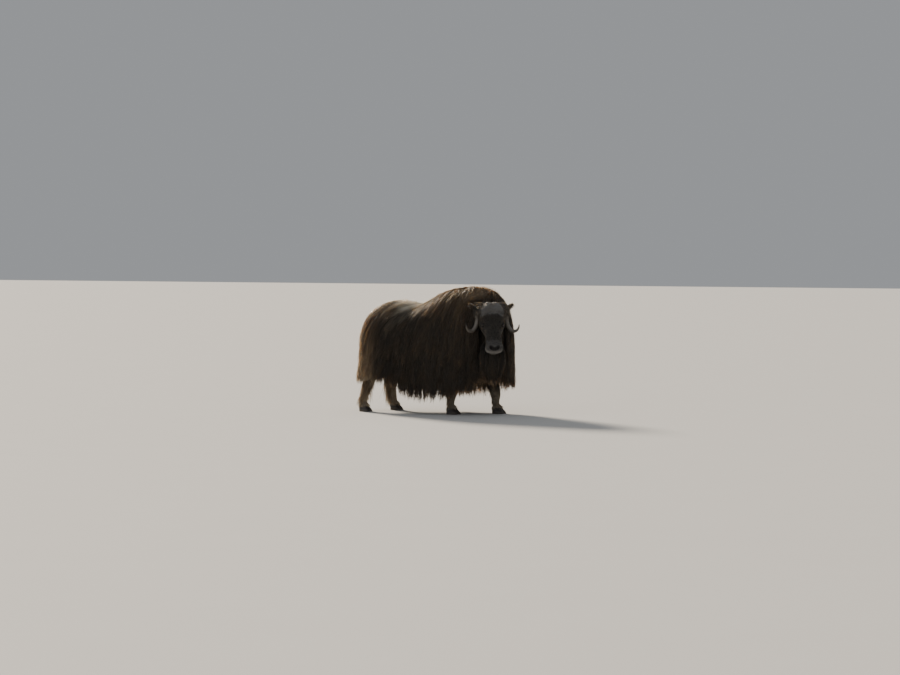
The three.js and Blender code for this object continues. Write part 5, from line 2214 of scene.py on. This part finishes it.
@dataclass(frozen=True)
class HoofFinish:
    """The finish of the hooves: dark worn horn, dusty and chipped towards the sole."""

    name: str = "hoof_dark"
    wall: Colour = (0.028, 0.023, 0.020)
    worn: Colour = (0.13, 0.105, 0.08)
    dust_height: float = 0.03

    def make(self, grain: bpy.types.NodeTree) -> bpy.types.Material:
        """Makes the material.

        Args:
            grain: The group of stretched grain.

        Returns:
            The material.
        """
        material, sheet, shader = new_material(self.name)
        grit, height = sheet.grain(grain, (1, 1, 1.6), 90.0, 2.0)
        mask = sheet.times(sheet.ramp(sheet.attribute("height"), 0.0, self.dust_height, 0.9, 0.15), grit)
        sheet.feed(shader, {
            "Base Color": sheet.blend(mask, opaque(self.wall), opaque(self.worn)),
            "Roughness": sheet.ramp(mask, 0.0, 0.8, 0.42, 0.8), "Normal": sheet.bumped(height, 0.5, 0.001)})
        return material


@dataclass(frozen=True)
class EyeFinish:
    """The finish of the eyes: deep brown under a wet clear coat."""

    name: str = "eye_wet"
    mottle_scale: float = 700.0

    def make(self) -> bpy.types.Material:
        """Makes the material."""
        material, sheet, shader = new_material(self.name)
        mottle = sheet.ramp(sheet.noise(sheet.stretched((1, 1, 1)), self.mottle_scale), 0.3, 0.7, 0.8, 1.2)
        sheet.feed(shader, {
            "Base Color": sheet.scaled(sheet.attribute("marking", "Color"), mottle), "Roughness": 0.2,
            "Specular IOR Level": 0.1, "Coat Weight": 0.8, "Coat Roughness": 0.03})
        return material


@dataclass(frozen=True)
class FloorFinish:
    """The finish of the studio floor: plain, pale and matte."""

    name: str = "floor_pale"
    colour: Colour = (0.62, 0.61, 0.59)
    shade: Colour = (0.5, 0.49, 0.47)

    def make(self) -> bpy.types.Material:
        """Makes the material."""
        material, sheet, shader = new_material(self.name)
        cloud = sheet.ramp(sheet.noise(sheet.stretched((1, 1, 1)), 1.5), 0.3, 0.7, 0.0, 0.06)
        sheet.feed(shader, {"Base Color": sheet.blend(cloud, opaque(self.colour), opaque(self.shade)),
                            "Roughness": 0.9, "Specular IOR Level": 0.2})
        return material


@dataclass
class Studio:
    """A pale floor, soft lights with a warm one from behind, and the camera."""

    azimuth: float = 28.0
    pitch: float = 2.2
    distance: float = 25.0
    lens: float = 105.0
    aim_left: float = -0.2333
    aim_height: float = 0.7286
    sky: Colour = (0.86, 0.89, 0.93)
    sky_strength: float = 0.37

    def directions(self) -> tuple[Array, Array]:
        """Gives the picture's own right, and the level way from the camera to the animal."""
        turn = math.radians(self.azimuth)
        right = np.array((math.cos(turn), math.sin(turn), 0))
        return right, np.array((-math.sin(turn), math.cos(turn), 0))

    def aim(self) -> Array:
        """Gives the point at the middle of the picture."""
        right, _ = self.directions()
        return OFFSET + right * self.aim_left + (0, 0, self.aim_height)

    def floor(self) -> None:
        """Lays the floor."""
        size = 60.0
        corners = [(-size, -size, 0), (size, -size, 0), (size, size, 0), (-size, size, 0)]
        mesh = bpy.data.meshes.new("floor")
        mesh.from_pydata(corners, [], [(0, 1, 2, 3)])
        mesh.materials.append(FloorFinish().make())
        linked("floor", mesh)

    def camera(self) -> None:
        """Sets the camera, which looks nearly level from far away."""
        _, ahead = self.directions()
        pitch = math.radians(self.pitch)
        aim = Vector(self.aim())
        place = aim - Vector(ahead * math.cos(pitch) - np.array((0, 0, math.sin(pitch)))) * self.distance
        lens = bpy.data.cameras.new("camera")
        lens.lens = self.lens
        lens.clip_end = 200
        camera = linked("camera", lens)
        camera.location = place
        camera.rotation_euler = (aim - place).to_track_quat("-Z", "Y").to_euler()
        bpy.context.scene.camera = camera

    def light(self, name: str, place: tuple[float, float, float], spread: float, strength: float,
              colour: Colour) -> None:
        """Adds one soft light that is far enough away to light the floor evenly.

        Args:
            name: Its name.
            place: Where it stands: to the picture's right, away from the camera, and up.
            spread: How wide it looks from the animal, in degrees.
            strength: Its strength.
            colour: Its colour.
        """
        right, ahead = self.directions()
        glow = bpy.data.lights.new(name, "SUN")
        glow.angle, glow.energy, glow.color = math.radians(spread), strength, colour
        lamp = linked(name, glow)
        lamp.location = Vector(right * place[0] + ahead * place[1] + (0, 0, place[2]))
        lamp.rotation_euler = (-lamp.location).to_track_quat("-Z", "Y").to_euler()

    def build(self) -> None:
        """Sets up floor, lights, sky and camera."""
        self.floor()
        self.light("key_behind", (-4.2, 7.3, 4.0), 12.0, 7.5, (1.0, 0.88, 0.72))
        self.light("fill_front", (-5.0, -7.0, 5.0), 50.0, 0.35, (0.92, 0.96, 1.0))
        world = bpy.data.worlds.new("sky")
        world.use_nodes = True
        background = world.node_tree.nodes["Background"]
        background.inputs["Color"].default_value = opaque(self.sky)
        background.inputs["Strength"].default_value = self.sky_strength
        bpy.context.scene.world = world
        self.camera()


def main() -> None:
    """Builds the muskox piece by piece, then the studio round it."""
    logging.basicConfig(level=logging.INFO, format="%(name)s: %(message)s")
    strand, grain = strand_group(), grain_group()
    guard = HairFinish("guard_hair", 0.42, 1.25, 0.95, (0.42, 0.27, 0.13), 0.10, 0.12, 0.6, 0.45).make(strand)
    face = HairFinish("face_hair", 0.62, 1.15, 0.6, (0.6, 0.55, 0.48), 0.10, 0.10, 0.35, 0.45).make(strand)
    pale = (0.75, 0.66, 0.52)
    stocking = HairFinish("stocking_hair", 0.7, 1.1, 0.5, pale, 0.15, 0.10, 0.4, 0.45).make(strand)
    Skin().build(SkinFinish().make(grain))
    Horns().build(HornFinish().make(grain))
    Eyes().build(EyeFinish().make())
    Hooves().build(HoofFinish().make(grain))
    Coat().build(guard, face, stocking)
    Studio().build()


if __name__ == "__main__":
    main()
